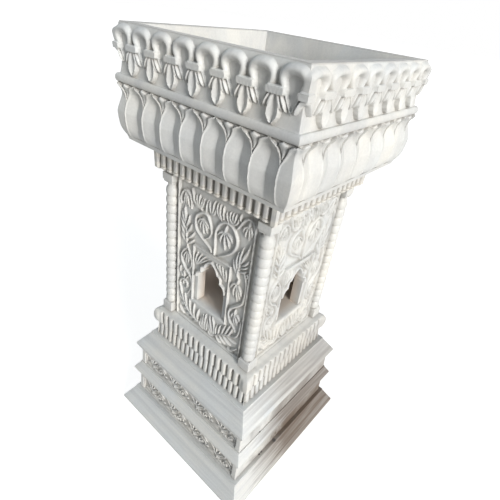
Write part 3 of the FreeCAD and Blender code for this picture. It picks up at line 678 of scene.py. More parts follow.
class Carving:
    """A relief over one flat face, raised stroke by stroke."""

    def __init__(self, x, z):
        self.x = x
        self.z = z
        self.rise = np.zeros_like(x)

    def ridge(self, line, widths, height, power=0.5, stacked=False):
        """A rounded ridge along a line, with half widths spread along it. A stacked one adds to the rise."""
        line = np.array(line, float)
        along = lengths_along(line)
        local = np.interp(along, np.linspace(0, along[-1], len(widths)), widths)
        widest = local.max()
        near = ((self.x > line[:, 0].min() - widest) & (self.x < line[:, 0].max() + widest)
                & (self.z > line[:, 1].min() - widest) & (self.z < line[:, 1].max() + widest))
        x, z = self.x[near], self.z[near]
        if x.size == 0:
            return
        best = np.full(x.shape, -1.0)
        for index in range(len(line) - 1):
            start, run = line[index], line[index + 1] - line[index]
            share = np.clip(((x - start[0]) * run[0] + (z - start[1]) * run[1]) / max(run @ run, TINY), 0, 1)
            away = np.hypot(x - start[0] - share * run[0], z - start[1] - share * run[1])
            width = np.maximum(local[index] + (local[index + 1] - local[index]) * share, LEAST_WIDTH)
            value = np.clip(1 - (away / width) ** 2, 0, 1) ** power * np.sqrt(width / widest)
            best = np.maximum(best, value)
        rise = self.rise[near]
        under = rise if stacked else 0.0
        self.rise[near] = np.maximum(rise, np.where(best > 0, under + height * best, rise))

    def stem(self, points, width, height):
        widths = (STEM_ENDS[0] * width, width, width, STEM_ENDS[1] * width)
        self.ridge(flowing(points, STEM_STEP), widths, height)

    def blade(self, points, width, height):
        """A leaf from its root to its pointed tip."""
        widths = [share * width for share in BLADE_SHARES]
        self.ridge(flowing(points, BLADE_STEP), widths, height, BLADE_POWER)

    def curl(self, centre, radius, start, turns, width, height):
        """A stem that winds into its centre, from an angle in degrees."""
        line = []
        for step in range(CURL_STEPS + 1):
            share = step / CURL_STEPS
            angle = math.radians(start + 360 * turns * share)
            reach = radius * (1 - CURL_CLOSING * share)
            line.append((centre[0] + reach * math.cos(angle), centre[1] + reach * math.sin(angle)))
        self.ridge(line, (width, width, CURL_CLOSING * width), height)


# Marble

STONE = (0.80, 0.79, 0.755)
STONE_COOL = (0.71, 0.735, 0.75)
STONE_WARM = (0.80, 0.755, 0.68)
# Painted warm shade inside the shaft
NICHE_SHADE_COLOUR = (0.66, 0.56, 0.47)
VEIN = (0.57, 0.575, 0.58)
# Grime and painted shade: the colour that creases and carved hollows darken towards
GRIME_AND_SHADE = (0.27, 0.245, 0.21)
# Painted shadow, with streaks of stain, on the right of the plinth
SHADOW_AND_STAIN = (0.125, 0.088, 0.062)
RIM_STAIN = (0.24, 0.215, 0.19)
# Painted shade of the chips' pits, which are not in the mesh
CHIP_SHADE = (0.10, 0.09, 0.085)
SHINE = 0.4

# Noises: waves to the metre along each axis, detail, and where set roughness and distortion
CLOUDS = ((3.2, 3.2, 3.2), 6.0, 0.6, 1.4)
STREAK = (5.0, 0.62, 0.5)
SPECKLE = ((220.0, 220.0, 220.0), 3.0)
WARM_PATCHES = ((5.0, 5.0, 5.0), 3.0)
GRAIN = ((900.0, 900.0, 900.0), 2.0)
WAVES = ((34.0, 34.0, 34.0), 3.0)
STEEL_LINES = ((1500.0, 1500.0, 30.0), 3.0)
ALONG = (1.6, 1.6, 56.0)
UPRIGHT = (9.0, 9.0, 4.0)
EVEN = (9.0, 9.0, 9.0)

# Ramps: places with their greys
CLOUD_RAMP = ((0.36, 0.0), (0.68, 1.0))
WARM_RAMP = ((0.35, 0.0), (0.7, 1.0))
VEIN_RAMP = ((0.42, 0.0), (0.55, 0.42), (0.72, 0.85))
SPECKLE_RAMP = ((0.3, 0.93), (0.7, 1.0))
SHADE_RAMP = ((0.3, 1.0), (0.85, 0.0))
PATCH_RAMP = ((0.3, 0.6), (0.6, 1.0))
HOLLOW_RAMP = ((0.38, 0.0), (0.75, 1.0))
ROUGH_RAMP = ((0.3, 0.42), (0.7, 0.56))
STEEL_RAMP = ((0.3, 0.42), (0.7, 0.6))
STEEL_ROUGH_RAMP = ((0.3, 0.3), (0.7, 0.5))
SHADOW_STAIN_RAMP = ((0.34, 0.70), (0.56, 1.0))

# Bumps: strength and distance
GRAIN_BUMP = (0.12, 0.0004)
WAVE_BUMP = (0.25, 0.0016)
STEEL_BUMP = (0.2, 0.0003)

WARM_SHARE = 0.5
WARM_OFFSET = 0.25
SHADE_REACH = 0.02
SHADE_SAMPLES = 8

# Marks on the worn stone, with painted shadow on the plinth's right, painted warm shade inside the shaft and
# painted shade in the chips: where each fades in, and its strength
SHADOW_STAIN_SIDE = (0.09, 0.20)
SHADOW_STAIN_BACK = (-0.19, -0.01)
SHADOW_STAIN_LOW = (0.56, 0.12)
SHADOW_STAIN_WANDER = 0.4
SHADOW_STAIN_STRENGTH = 0.97
RIM_FADE = (1.217, 1.22)
RIM_STRENGTH = 0.45
NICHE_SHADE_INSIDE = (0.158, 0.135)
NICHE_SHADE_FOOT = (0.53, 0.549)
NICHE_SHADE_HEAD = (0.90, 0.88)
NICHE_SHADE_STRENGTH = 0.8
CHIPS = (
    ((0.230, -0.137, 0.199), 0.0035),
    ((0.237, -0.112, 0.066), 0.005),
    ((0.238, -0.123, 0.066), 0.0045),
    ((0.243, -0.051, 0.066), 0.008),
)
CHIP_CORE = 0.6


def node(tree, kind, links=(), **values):
    """Add a shader node with its values by socket name and links from other sockets."""
    made = tree.nodes.new(kind)
    for key, value in values.items():
        if key in made.bl_rna.properties.keys():
            setattr(made, key, value)
        else:
            made.inputs[key.replace("_", " ")].default_value = value
    for key, source in dict(links).items():
        tree.links.new(source, made.inputs[key])
    return made


def fill(tree, socket, value):
    """Give a socket a number, a colour or a link."""
    if isinstance(value, (float, int)):
        socket.default_value = value
    elif isinstance(value, tuple):
        socket.default_value = (*value, 1.0)
    else:
        tree.links.new(value, socket)


def ramp(tree, source, stops):
    """A ramp of greys over a value."""
    made = node(tree, "ShaderNodeValToRGB", {"Fac": source})
    elements = made.color_ramp.elements
    for index, (place, grey) in enumerate(stops):
        element = elements[index] if index < 2 else elements.new(place)
        element.position = place
        element.color = (grey, grey, grey, 1.0)
    return made.outputs["Color"]


def fade(tree, value, start, end):
    """0 at the start value and 1 at the end value, with an even rise between."""
    return node(tree, "ShaderNodeMapRange", {"Value": value}, From_Min=start, From_Max=end).outputs[0]


def noise(tree, place, stretch, detail, rough=0.55, distortion=0.0):
    """Noise over the object, stretched along its axes."""
    spread = node(tree, "ShaderNodeMapping", {"Vector": place})
    spread.inputs["Scale"].default_value = stretch
    made = node(tree, "ShaderNodeTexNoise", {"Vector": spread.outputs["Vector"]}, Scale=1.0, Detail=detail,
                Roughness=rough, Distortion=distortion)
    return made.outputs["Fac"]


def mixed(tree, factor, first, second, mode="MIX"):
    made = tree.nodes.new("ShaderNodeMix")
    made.data_type = "RGBA"
    made.blend_type = mode
    for socket, value in ((made.inputs[0], factor), (made.inputs[6], first), (made.inputs[7], second)):
        fill(tree, socket, value)
    return made.outputs[2]


def maths(tree, operation, first, second=0.0):
    made = tree.nodes.new("ShaderNodeMath")
    made.operation = operation
    fill(tree, made.inputs[0], first)
    fill(tree, made.inputs[1], second)
    return made.outputs[0]


def times(tree, first, *others):
    for other in others:
        first = maths(tree, "MULTIPLY", first, other)
    return first


def bump(tree, height, strength, distance, links=()):
    links = {"Height": height, **dict(links)}
    return node(tree, "ShaderNodeBump", links, Strength=strength, Distance=distance).outputs["Normal"]


def shadow_and_stain(tree, spot, streak):
    """Painted shadow with streaks of stain on the right of the plinth, towards its back corner."""
    wander = times(tree, maths(tree, "SUBTRACT", streak, 0.5), SHADOW_STAIN_WANDER)
    back = fade(tree, maths(tree, "ADD", spot["Y"], wander), *SHADOW_STAIN_BACK)
    low = fade(tree, spot["Z"], *SHADOW_STAIN_LOW)
    beside = fade(tree, spot["X"], *SHADOW_STAIN_SIDE)
    return times(tree, beside, back, low, ramp(tree, streak, SHADOW_STAIN_RAMP), SHADOW_STAIN_STRENGTH)


def worn_rim(tree, spot):
    """Weather on the top of the planter's rim."""
    return times(tree, fade(tree, spot["Z"], *RIM_FADE), RIM_STRENGTH)


def niche_painted_shade(tree, spot):
    """Painted warm shade on the stone inside the shaft."""
    far = maths(tree, "MAXIMUM", maths(tree, "ABSOLUTE", spot["X"]), maths(tree, "ABSOLUTE", spot["Y"]))
    fades = [fade(tree, value, *ends) for value, ends in ((far, NICHE_SHADE_INSIDE), (spot["Z"], NICHE_SHADE_FOOT),
                                                          (spot["Z"], NICHE_SHADE_HEAD))]
    return times(tree, *fades, NICHE_SHADE_STRENGTH)


def chip_shade_spots(tree, place):
    """Small chips on the plinth's slabs, painted as dark spots that stand in for the shade in their pits."""
    total = 0.0
    for centre, size in CHIPS:
        away = node(tree, "ShaderNodeVectorMath", operation="DISTANCE")
        tree.links.new(place, away.inputs[0])
        away.inputs[1].default_value = centre
        total = maths(tree, "MAXIMUM", fade(tree, away.outputs["Value"], size, CHIP_CORE * size), total)
    return total


def new_material(name):
    material = bpy.data.materials.new(name)
    material.use_nodes = True
    return material, material.node_tree, material.node_tree.nodes["Principled BSDF"]


def object_place(tree):
    return tree.nodes.new("ShaderNodeTexCoord").outputs["Object"]


def marble(name, streaks, grime_and_shade, carved, warmth=0.35):
    """White marble with grey clouds and streaks, grime and painted shade in its recesses, painted shadow on
    the plinth's right, painted shade in the shaft and in chips, and a honed, uneven face.
    """
    material, tree, shader = new_material(name)
    place = object_place(tree)
    spot = node(tree, "ShaderNodeSeparateXYZ", {"Vector": place}).outputs
    clouds = noise(tree, place, *CLOUDS)
    streak = noise(tree, place, streaks, *STREAK)
    colour = mixed(tree, ramp(tree, clouds, CLOUD_RAMP), STONE, STONE_COOL)
    warm = times(tree, ramp(tree, noise(tree, place, *WARM_PATCHES), WARM_RAMP), WARM_SHARE)
    colour = mixed(tree, maths(tree, "ADD", warm, warmth - WARM_OFFSET), colour, STONE_WARM)
    colour = mixed(tree, ramp(tree, streak, VEIN_RAMP), colour, VEIN)
    fine = ramp(tree, noise(tree, place, *SPECKLE), SPECKLE_RAMP)
    colour = mixed(tree, 1.0, colour, fine, "MULTIPLY")
    # Grime and painted shade: the stone darkens in its creases by ambient occlusion, and in its carved
    # hollows by their depth
    shade = node(tree, "ShaderNodeAmbientOcclusion", Distance=SHADE_REACH)
    shade.samples = SHADE_SAMPLES
    dark = times(tree, ramp(tree, shade.outputs["AO"], SHADE_RAMP), ramp(tree, clouds, PATCH_RAMP))
    if carved:
        hollow = node(tree, "ShaderNodeAttribute", attribute_name="hollow").outputs["Fac"]
        dark = maths(tree, "MAXIMUM", dark, times(tree, ramp(tree, hollow, HOLLOW_RAMP), carved))
    colour = mixed(tree, times(tree, dark, grime_and_shade), colour, GRIME_AND_SHADE)
    # Painted shadow with streaks of stain on the right of the plinth
    colour = mixed(tree, shadow_and_stain(tree, spot, streak), colour, SHADOW_AND_STAIN)
    colour = mixed(tree, worn_rim(tree, spot), colour, RIM_STAIN)
    # Painted shade in the chips on the plinth's slabs
    colour = mixed(tree, chip_shade_spots(tree, place), colour, CHIP_SHADE)
    # Painted warm shade inside the shaft
    colour = mixed(tree, niche_painted_shade(tree, spot), colour, NICHE_SHADE_COLOUR)
    tree.links.new(colour, shader.inputs["Base Color"])
    tree.links.new(ramp(tree, clouds, ROUGH_RAMP), shader.inputs["Roughness"])
    fine_bump = bump(tree, noise(tree, place, *GRAIN), *GRAIN_BUMP)
    waves = noise(tree, place, *WAVES)
    tree.links.new(bump(tree, waves, *WAVE_BUMP, {"Normal": fine_bump}), shader.inputs["Normal"])
    shader.inputs["Specular IOR Level"].default_value = SHINE
    return material


def dowel_steel():
    """Drawn steel with fine lengthwise lines."""
    material, tree, shader = new_material("drawn_steel")
    lines = noise(tree, object_place(tree), *STEEL_LINES)
    tree.links.new(ramp(tree, lines, STEEL_RAMP), shader.inputs["Base Color"])
    tree.links.new(ramp(tree, lines, STEEL_ROUGH_RAMP), shader.inputs["Roughness"])
    tree.links.new(bump(tree, lines, *STEEL_BUMP), shader.inputs["Normal"])
    shader.inputs["Metallic"].default_value = 1.0
    return material


# The slabs' stone is cooler, as painted cool sky light on their tops
COOL_LIT_SLAB_STONE = marble("honed_marble", ALONG, 0.7, 0.0, 0.2)
CARVED_STONE = marble("carved_marble", EVEN, 0.8, 0.7)
WALL_STONE = marble("planter_wall_marble", UPRIGHT, 0.5, 0.3)
# The dentil band's stone is warmer, as painted warm light bounced up from below
WARM_LIT_BAND_STONE = marble("dentil_marble_warm_lit", ALONG, 0.6, 0.35, 0.8)
STEEL = dowel_steel()


def dress(piece, material, *nodes):
    """Give a piece its stone, its place on the body and the nodes it stands for."""
    piece.data.materials.clear()
    piece.data.materials.append(material)
    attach(piece, "root")
    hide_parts(*nodes)


def extent(name):
    """The heights of a node's foot and head, and its half width."""
    low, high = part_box(name)
    return low.z / MM, high.z / MM, high.x / MM


# Plinth


def plain_course(name, corners):
    """A course with plain sides."""
    first, last = corners[0], corners[-1]
    line = [(first[0] - INSET, first[1])] + list(corners) + [(last[0] - INSET, last[1])]
    dress(ring_piece(name + "_marble", spaced(softened(line)), (PLAIN_STEP,) * 4), COOL_LIT_SLAB_STONE, name)


def draw_scroll(carving, start, foot, tall):
    """One repeat of a plinth scroll: a spiral round an eye, and leaves, in a field of this height."""
    def spots(points):
        return [(start + share_x * SCROLL_PITCH, foot + share_z * tall) for share_x, share_z in points]

    eye = spots([SCROLL_EYE])[0]
    carving.stem(spots(SCROLL_STEM), *SCROLL_STEM_SIZE)
    carving.curl(eye, SCROLL_CURL[0] * tall, *SCROLL_CURL[1:])
    width, height = SCROLL_EYE_SIZE
    carving.ridge([eye, (eye[0] + DOT, eye[1])], (width, width), height)
    for points, (width, height) in zip(SCROLL_LEAVES, SCROLL_LEAF_SIZES):
        carving.blade(spots(points), width, height)


def scroll_relief(half, foot, head):
    """The carved front of a plinth block: a sunk field with a running scroll."""
    side = half - FIELD_SIDE
    low, high = foot + FIELD_EDGE, head - FIELD_EDGE

    def relief(x, z):
        field = blend(side + FIELD_SOFT, side - FIELD_SOFT, np.abs(x))
        field = field * np.minimum(blend(low - FIELD_SOFT, low + FIELD_SOFT, z),
                                   blend(high + FIELD_SOFT, high - FIELD_SOFT, z))
        carving = Carving(x, z)
        for count in range(SCROLL_COUNT):
            draw_scroll(carving, SCROLL_PITCH * (count - SCROLL_COUNT / 2), low, high - low)
        inset, width, height = FIELD_LINE
        left, right, under, over = inset - side, side - inset, low + inset, high - inset
        edge = [(left, under), (right, under), (right, over), (left, over), (left, under)]
        carving.ridge(edge, (width, width), height)
        return -FIELD_DEPTH * field + np.minimum(carving.rise, SCROLL_LIMIT) * field

    return relief


def plinth_block(name):
    foot, head, half = extent(name)
    line = [(half - INSET, foot), (half, foot), (half - BLOCK_LEAN, head), (half - BLOCK_LEAN - INSET, head)]
    profile = divided(softened(line, BLOCK_ROUND, BLOCK_ROUND_STEPS), BLOCK_RISE_STEP, math.inf, BLOCK_FACE)
    reliefs = (scroll_relief(half, foot, head), flat, flat, flat)
    piece = ring_piece(name + "_marble", profile, BLOCK_STEPS, reliefs, sharp=BLOCK_SHARP, sunk=SUNK_GRIME_AND_SHADE)
    dress(piece, CARVED_STONE, name)


def build_plinth():
    foot, head, half = extent("base_slab")
    plain_course("base_slab", [(half, foot), (half, foot + BASE_EDGE), (BASE_STEP_HALF, head - STEP),
                               (BASE_STEP_HALF, head)])
    plinth_block("lower_frieze_block")
    plinth_block("upper_frieze_block")
    for name, below, step_half, edge, under in SLABS:
        foot, head, half = extent(name)
        inner = extent(below)[2] - BLOCK_LEAN
        plain_course(name, [(inner, foot), (half, foot + under), (half, foot + under + edge),
                            (step_half, head - STEP), (step_half, head)])


# Reeded course


def domed(off, power):
    """The rise of a round-fronted form, 1 in its middle and 0 at an offset of 1."""
    return np.clip(1 - np.abs(off) ** power, 0, 1) ** 0.5


def reed_levels():
    """The heights of the course's foot, its reeds' top, its caps' top and its head."""
    foot, head, half = extent("reeded_course")
    return foot, foot + REED_HEIGHT, foot + REED_HEIGHT + CAP_HEIGHT, head


def reed_relief(x, z):
    """Reeds below, and above them caps with deep gaps between and a wider cap round each corner."""
    foot, reed_top, cap_top, head = reed_levels()
    pitch = 2 * REED_HALF / REED_COUNT
    off = np.abs((x / pitch) % 1 - 0.5) / (REED_SHARE / 2)
    reeds = REED_DEPTH * (domed(off, REED_POWER) - 1)
    pitch = 2 * REED_HALF / CAP_COUNT
    height = np.clip((z - reed_top) / CAP_ROUND, CAP_LEAST, 1)
    wide = CAP_SHARE / 2 * np.sqrt(1 - (1 - height) ** 2)
    off = np.abs((x / pitch) % 1 - 0.5) / wide
    off = np.where(np.abs(x) > REED_HALF - pitch / 2, 0, off)
    caps = CAP_DEPTH * (domed(off, CAP_POWER) - 1) * blend(cap_top, cap_top - GAP_SLOPE, z)
    share = np.clip((z - reed_top) / CAP_HEIGHT, 0, 1)
    caps = caps + CORNER_SWELL * np.sin(math.pi * share) * blend(*CORNER_SWELL_LINE, np.abs(x))
    above = blend(reed_top - CAP_SOFT, reed_top + CAP_SOFT, z)
    return (reeds * (1 - above) + caps * above) * blend(cap_top + RELIEF_END, cap_top - RELIEF_END, z)


def build_reeds():
    foot, reed_top, cap_top, head = reed_levels()
    line = [(REED_HALF - INSET, foot), (REED_HALF + REED_FLARE[0], foot)]
    line += [(REED_HALF + REED_FLARE[1], reed_top - 1)]
    line += [(REED_HALF + out, reed_top + up) for out, up in CAP_FOOT_LINE]
    line += [(REED_HALF + out, cap_top - down) for out, down in reversed(CAP_HEAD_LINE)]
    line += [(LEDGE_HALF, cap_top + LEDGE_RISE), (PANEL_HALF, head), (PANEL_HALF - INSET, head)]
    profile = divided(line, REED_STEP, REED_STEP)
    piece = ring_piece("reeded_course_marble", profile, (CARVED_STEP,) * 4, (reed_relief,) * 4)
    dress(piece, CARVED_STONE, "reeded_course")


# Shaft


def window_corners(grow=0.0):
    """Half of the window's outline from its sill up, grown outwards by a margin."""
    wide = WINDOW_HALF + grow
    tall = ARCH_HEIGHT + grow
    half = [np.array((wide, SILL - grow)), np.array((wide, SPRING))]
    for cusp, bend in zip(CUSPS, BENDS):
        start = half[-1]
        middle, end = (np.array((wide * across, SPRING + tall * up)) for across, up in (bend, cusp))
        half += [bent(start, middle, end, step / WINDOW_STEPS) for step in range(1, WINDOW_STEPS + 1)]
    return half


def mirrored(half):
    """A whole outline from its right half, from the left foot over the top."""
    return [(-px, pz) for px, pz in reversed(half)] + half


def panel_relief(x, z):
    """The carved face of one panel, as a rise over its margin."""
    foot, head, half = extent("front_panel")
    ground = MARGIN_DEPTH - GROUND_DEPTH
    rise = ground * blend(BORDER[1] + BORDER_SOFT, BORDER[1] - BORDER_SOFT, np.abs(x))
    edge = np.minimum(BORDER[1] - np.abs(x), np.minimum(z - foot, head - z))
    lip = blend(BORDER_EDGE + LIP_SOFT, BORDER_EDGE - LIP_SOFT, edge)
    rise = rise + (MARGIN_DEPTH - ground) * (blend(-LIP_SOFT, LIP_SOFT, edge) * lip)
    carving = Carving(x, z)
    for width, points in STEMS:
        carving.stem(np.reshape(points, (-1, 2)), width, CARVE)
    for width, *points in BLADES:
        carving.blade(np.reshape(points, (-1, 2)), width, CARVE)
    draw_window_frame(carving)
    carved = np.minimum(carving.rise, CARVE_LIMIT)
    return np.maximum(rise, ground + carved * blend(*CARVED_CLEAR, np.abs(x)))


def draw_window_frame(carving):
    """The lines round the window and along its arch."""
    wide, low, high = FRAME_LINE
    frame_width, arch_width, sill_width = FRAME_WIDTHS
    corners = [(-wide, low), (-wide, high), (wide, high), (wide, low), (-wide, low)]
    carving.ridge(corners, (frame_width,) * 2, CARVE, FRAME_POWER)
    line = [spot for spot in mirrored(window_corners(ARCH_MARGIN)) if spot[1] > ARCH_FOOT]
    for part in (line[:len(line) // 2], line[len(line) // 2:]):
        carving.ridge(part, (arch_width,) * 2, CARVE, FRAME_POWER)
    carving.ridge([(-wide, low + SILL_RISE), (wide, low + SILL_RISE)], (sill_width,) * 2, CARVE, SILL_POWER)


def panel_slab(name):
    """The front panel before its window: a plan outline with its carved face, stacked up its height."""
    foot, head, half = extent("front_panel")
    z = np.linspace(foot, head, round((head - foot) / PANEL_STEP) + 1)
    x = np.linspace(-PANEL_EDGE, PANEL_EDGE, round(2 * PANEL_EDGE / PANEL_STEP) + 1)
    face_x, face_z = np.meshgrid(x, z)
    rise = panel_relief(face_x, face_z)
    face_y = -(PANEL_HALF - MARGIN_DEPTH) - rise
    back = np.array([(PANEL_EDGE, -PANEL_EDGE), (PANEL_INNER, -PANEL_INNER), (-PANEL_INNER, -PANEL_INNER),
                     (-PANEL_EDGE, -PANEL_EDGE)])
    rows = len(z)
    plan_x = np.hstack([face_x, np.tile(back[:, 0], (rows, 1))])
    plan_y = np.hstack([face_y, np.tile(back[:, 1], (rows, 1))])
    columns = plan_x.shape[1]
    points = np.stack([plan_x, plan_y, np.tile(z[:, None], (1, columns))], axis=2).reshape(-1, 3)
    hollow = np.hstack([hollow_share(rise, PANEL_HOLLOW_REACH), np.full((rows, len(back)), EVEN_HOLLOW)])
    return make_object(name, points, grid_quads(rows, columns, False, True), end_caps(rows, columns),
                       hollow.ravel(), ROUGH_PANEL_SHARP)


def window_cutter():
    """A bar with the window's outline, through the front panel."""
    half = window_corners()
    line = np.array(half + [(-px, pz) for px, pz in reversed(half[:-1])])
    count = len(line)
    ahead = np.column_stack([line[:, 0], np.full(count, -PANEL_HALF - CUTTER_REACH), line[:, 1]])
    behind = np.column_stack([line[:, 0], np.full(count, -PANEL_INNER + CUTTER_REACH), line[:, 1]])
    cutter = make_object("window_cutter", np.vstack([ahead, behind]), grid_quads(2, count, False, True),
                         end_caps(2, count))
    cutter.data.flip_normals()
    return cutter


def build_panels():
    slab = panel_slab("panel_form")
    cutter = window_cutter()
    difference = slab.modifiers.new("window", "BOOLEAN")
    difference.object = cutter
    difference.operation = "DIFFERENCE"
    difference.solver = "EXACT"
    mesh = bpy.data.meshes.new_from_object(slab.evaluated_get(bpy.context.evaluated_depsgraph_get()))
    bpy.data.objects.remove(slab)
    bpy.data.objects.remove(cutter)
    mesh.shade_smooth()
    mesh.set_sharp_from_angle(angle=math.radians(PANEL_SHARP))
    for quarter, side in enumerate(SIDES):
        copy = mesh.copy()
        copy.transform(Matrix.Rotation(QUARTER * quarter, 4, "Z"))
        dress(placed(side + "_panel_carved", copy), CARVED_STONE, side + "_panel")


def column_profile(foot, neck_foot, neck_top):
    """The turned part of a column: rings, then a neck and a flare."""
    line = []
    ring = (neck_foot - foot) / RING_COUNT
    for count in range(RING_COUNT):
        for step in range(RING_PARTS):
            share = step / RING_PARTS
            bulge = math.sin(math.pi * share) ** RING_POWER
            line.append((COLUMN_RADIUS - RING_GROOVE * (1 - bulge), foot + ring * (count + share)))
    groove = COLUMN_RADIUS - RING_GROOVE
    for step in range(NECK_PARTS + 1):
        share = step / NECK_PARTS
        radius = groove + (NECK_RADIUS - groove) * math.sin(math.pi * share) ** NECK_POWER
        line.append((radius, neck_foot + (neck_top - neck_foot) * share))
    line.append((COLUMN_RADIUS, neck_top + NECK_TUCK))
    return np.array(line)


def column_block(line, foot, centre):
    """A square block of a column from its line of insets and heights."""
    corners = [(BLOCK_HALF - inset, foot + up) for inset, up in line]
    return square_form(spaced(softened(corners, COLUMN_ROUND)), centre)


def build_columns():
    for corner in CORNERS:
        name = corner + "_column"
        low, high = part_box(name)
        centre = ((low.x + high.x) / 2 / MM, (low.y + high.y) / 2 / MM)
        foot, cap_foot = low.z / MM, high.z / MM - CAPITAL
        turned = column_profile(foot + FOOT_BLOCK - TUCK, cap_foot - NECK, cap_foot)
        forms = [column_block(FOOT_LINE, foot, centre), column_block(CAPITAL_LINE, cap_foot, centre),
                 lathe(turned, centre)]
        dress(joined(name + "_turned", forms), WALL_STONE, name)


# Dentil band


def dentil_relief(x, z):
    """Round-fronted dentils on swelling feet, with a block at each corner."""
    middle = DENTIL_COUNT // 2
    off = x - np.clip(np.round(x / DENTIL_PITCH), -middle, middle) * DENTIL_PITCH
    stem = DENTIL_DEPTH * domed(off / DENTIL_HALF, DENTIL_POWER)
    stem = stem * blend(CUP_TOP - DENTIL_SOFT, CUP_TOP + DENTIL_SOFT, z)
    height = np.clip((z - CUP_FOOT) / (CUP_TOP - CUP_FOOT), 0, 1)
    swell = np.sqrt(np.clip(1 - (1 - np.clip(height * CUP_SWELL, 0, 1)) ** 2, 0, 1))
    swell = swell * blend(CUP_TOP + CUP_SOFT, CUP_TOP - CUP_SOFT, z)
    wide = CUP_HALF * (CUP_FOOT_SHARE + (1 - CUP_FOOT_SHARE) * swell)
    cup = (DENTIL_DEPTH + CUP_LIP) * domed(off / wide, CUP_POWER) * swell
    block = np.interp(z, *BLOCK_LINE) - np.interp(z, *RING_LINE)
    corner = block * blend(CORNER_INNER - CORNER_SOFT, CORNER_INNER + CORNER_SOFT, np.abs(x))
    return np.maximum(np.maximum(stem, cup), corner)


def build_dentils():
    foot, head, half = extent("dentil_band")
    line = [(CHAMBER, foot), (RING_LINE[1][0], foot), (DENTIL_RING, CUP_FOOT), (DENTIL_RING, head),
            (CHAMBER, head)]
    profile = divided(line, BAND_RISE_STEP, BAND_FLAT_STEP, 1.0)
    relief = outside(dentil_relief, 1, 1)
    piece = ring_piece("dentil_band_marble", profile, (CARVED_STEP,) * 4, (relief,) * 4, closed=True)
    dress(piece, WARM_LIT_BAND_STONE, "dentil_band")


# Planter box


def closed_wall(line):
    """An outer line with the wall's top, inner face and foot added."""
    foot, head = line[0, 1], line[-1, 1]
    under = [(CAVITY, foot), (CAVITY + UNDER_SUPPORT, foot), (line[0, 0] - WALL_SUPPORT, foot)]
    over = [(line[-1, 0] - WALL_SUPPORT, head), (CAVITY + RIM_EDGE, head),
            (CAVITY + RIM_ROUND, head - RIM_ROUND), (CAVITY, head - RIM_EDGE), (CAVITY, (foot + head) / 2)]
    return np.vstack([under, line, over])


def outside(relief, under=UNDER_POINTS, over=OVER_POINTS):
    """A relief that only acts on the outer face of a closed profile."""
    def shaped(x, z):
        rise = relief(x, z)
        rise[:under] = 0
        rise[-over:] = 0
        return rise

    return shaped


def lotus_relief(x, z):
    """Scooped petals with raised rims, and buds between their curled tips."""
    near = np.round(x / PITCH)
    off = np.abs(x - near * PITCH)
    half = np.interp(z, *PETAL_EDGE)
    edge = half - off
    share = np.clip(edge / np.maximum(half, 1.0), 0, 1)
    foot = PETAL_FOOT_SHARE + (1 - PETAL_FOOT_SHARE) * blend(*PETAL_FOOT, z)
    depth = PETAL_DEPTH * (half / (PITCH / 2)) ** PETAL_TAPER * foot
    scoop = -np.where(np.abs(near) > LAST_PETAL, CORNER_PETAL_DEPTH, depth) * share ** PETAL_POWER
    wide = RIM_WIDTHS[0] + RIM_WIDTHS[1] * blend(*RIM_WIDTH_LINE, z)
    crest = CREST_SHARE * wide * blend(*CREST_LINE, z)
    rim = RIM_RISE * (1 + RIM_GAIN * blend(*RIM_GAIN_LINE, z)) * np.exp(-((edge - crest) / wide) ** 2)
    petal = scoop + rim * blend(*RIM_END, z)
    bud_off = np.abs(PITCH / 2 - off) / np.interp(z, *BUD_EDGE)
    bud = GAP_DEPTH * (np.sqrt(np.clip(1 - bud_off ** 2, 0, 1)) - 1) + BUD_RISE
    outer = blend(*BUD_SIDE, edge) * blend(*BUD_FOOT, z)
    return petal * (1 - outer) + bud * outer


def loop_ground(x, z):
    """The ground of the frieze: a bowl inside each loop and a scallop below it."""
    off = x - (np.floor(x / PITCH) + 0.5) * PITCH
    wide, middle, tall = BOWL
    bowl = np.clip(1 - (off / wide) ** 2 - ((z - middle) / tall) ** 2, 0, 1) ** BOWL_POWER
    scallop = np.clip(1 - (off / SCALLOP_HALF) ** 2, 0, 1) * blend(*SCALLOP_LINE, z)
    return -(BOWL_DEPTH * bowl + SCALLOP_DEPTH * scallop) * blend(*FRIEZE_END, np.abs(x))


def add_loops(x, z, rise):
    """The loops, standing on the ground."""
    loops = Carving(x, z)
    outline = flowing(LOOP_HALF, LINE_STEP)
    for count in range(-HALF_COUNT, HALF_COUNT):
        for side in (-1, 1):
            line = [(PITCH * (count + 0.5) + side * px, pz) for px, pz in outline]
            loops.ridge(line, LOOP_WIDTHS, LOOP_RISE, LOOP_POWER)
    return np.where(loops.rise > 0, loops.rise, rise)


def add_leaflets(x, z, rise):
    """The leaflets beside each almond leaf, with a cut round them; only the outer one at a corner."""
    room = Carving(x, z)
    leaves = Carving(x, z)
    for count in range(-HALF_COUNT, HALF_COUNT + 1):
        for side in (-1, 1):
            if side * count == HALF_COUNT:
                continue
            for points, width in LEAFLETS[:1] if abs(count) == HALF_COUNT else LEAFLETS:
                line = flowing([(PITCH * count + side * px, pz) for px, pz in points], LINE_STEP)
                widths = [share * width for share in LEAFLET_SHARES]
                room.ridge(line, [part + LEAFLET_ROOM for part in widths], 1.0, ROOM_POWER, stacked=True)
                leaves.ridge(line, widths, LEAFLET_RISE, stacked=True)
    return np.where(room.rise > 0, leaves.rise, rise)


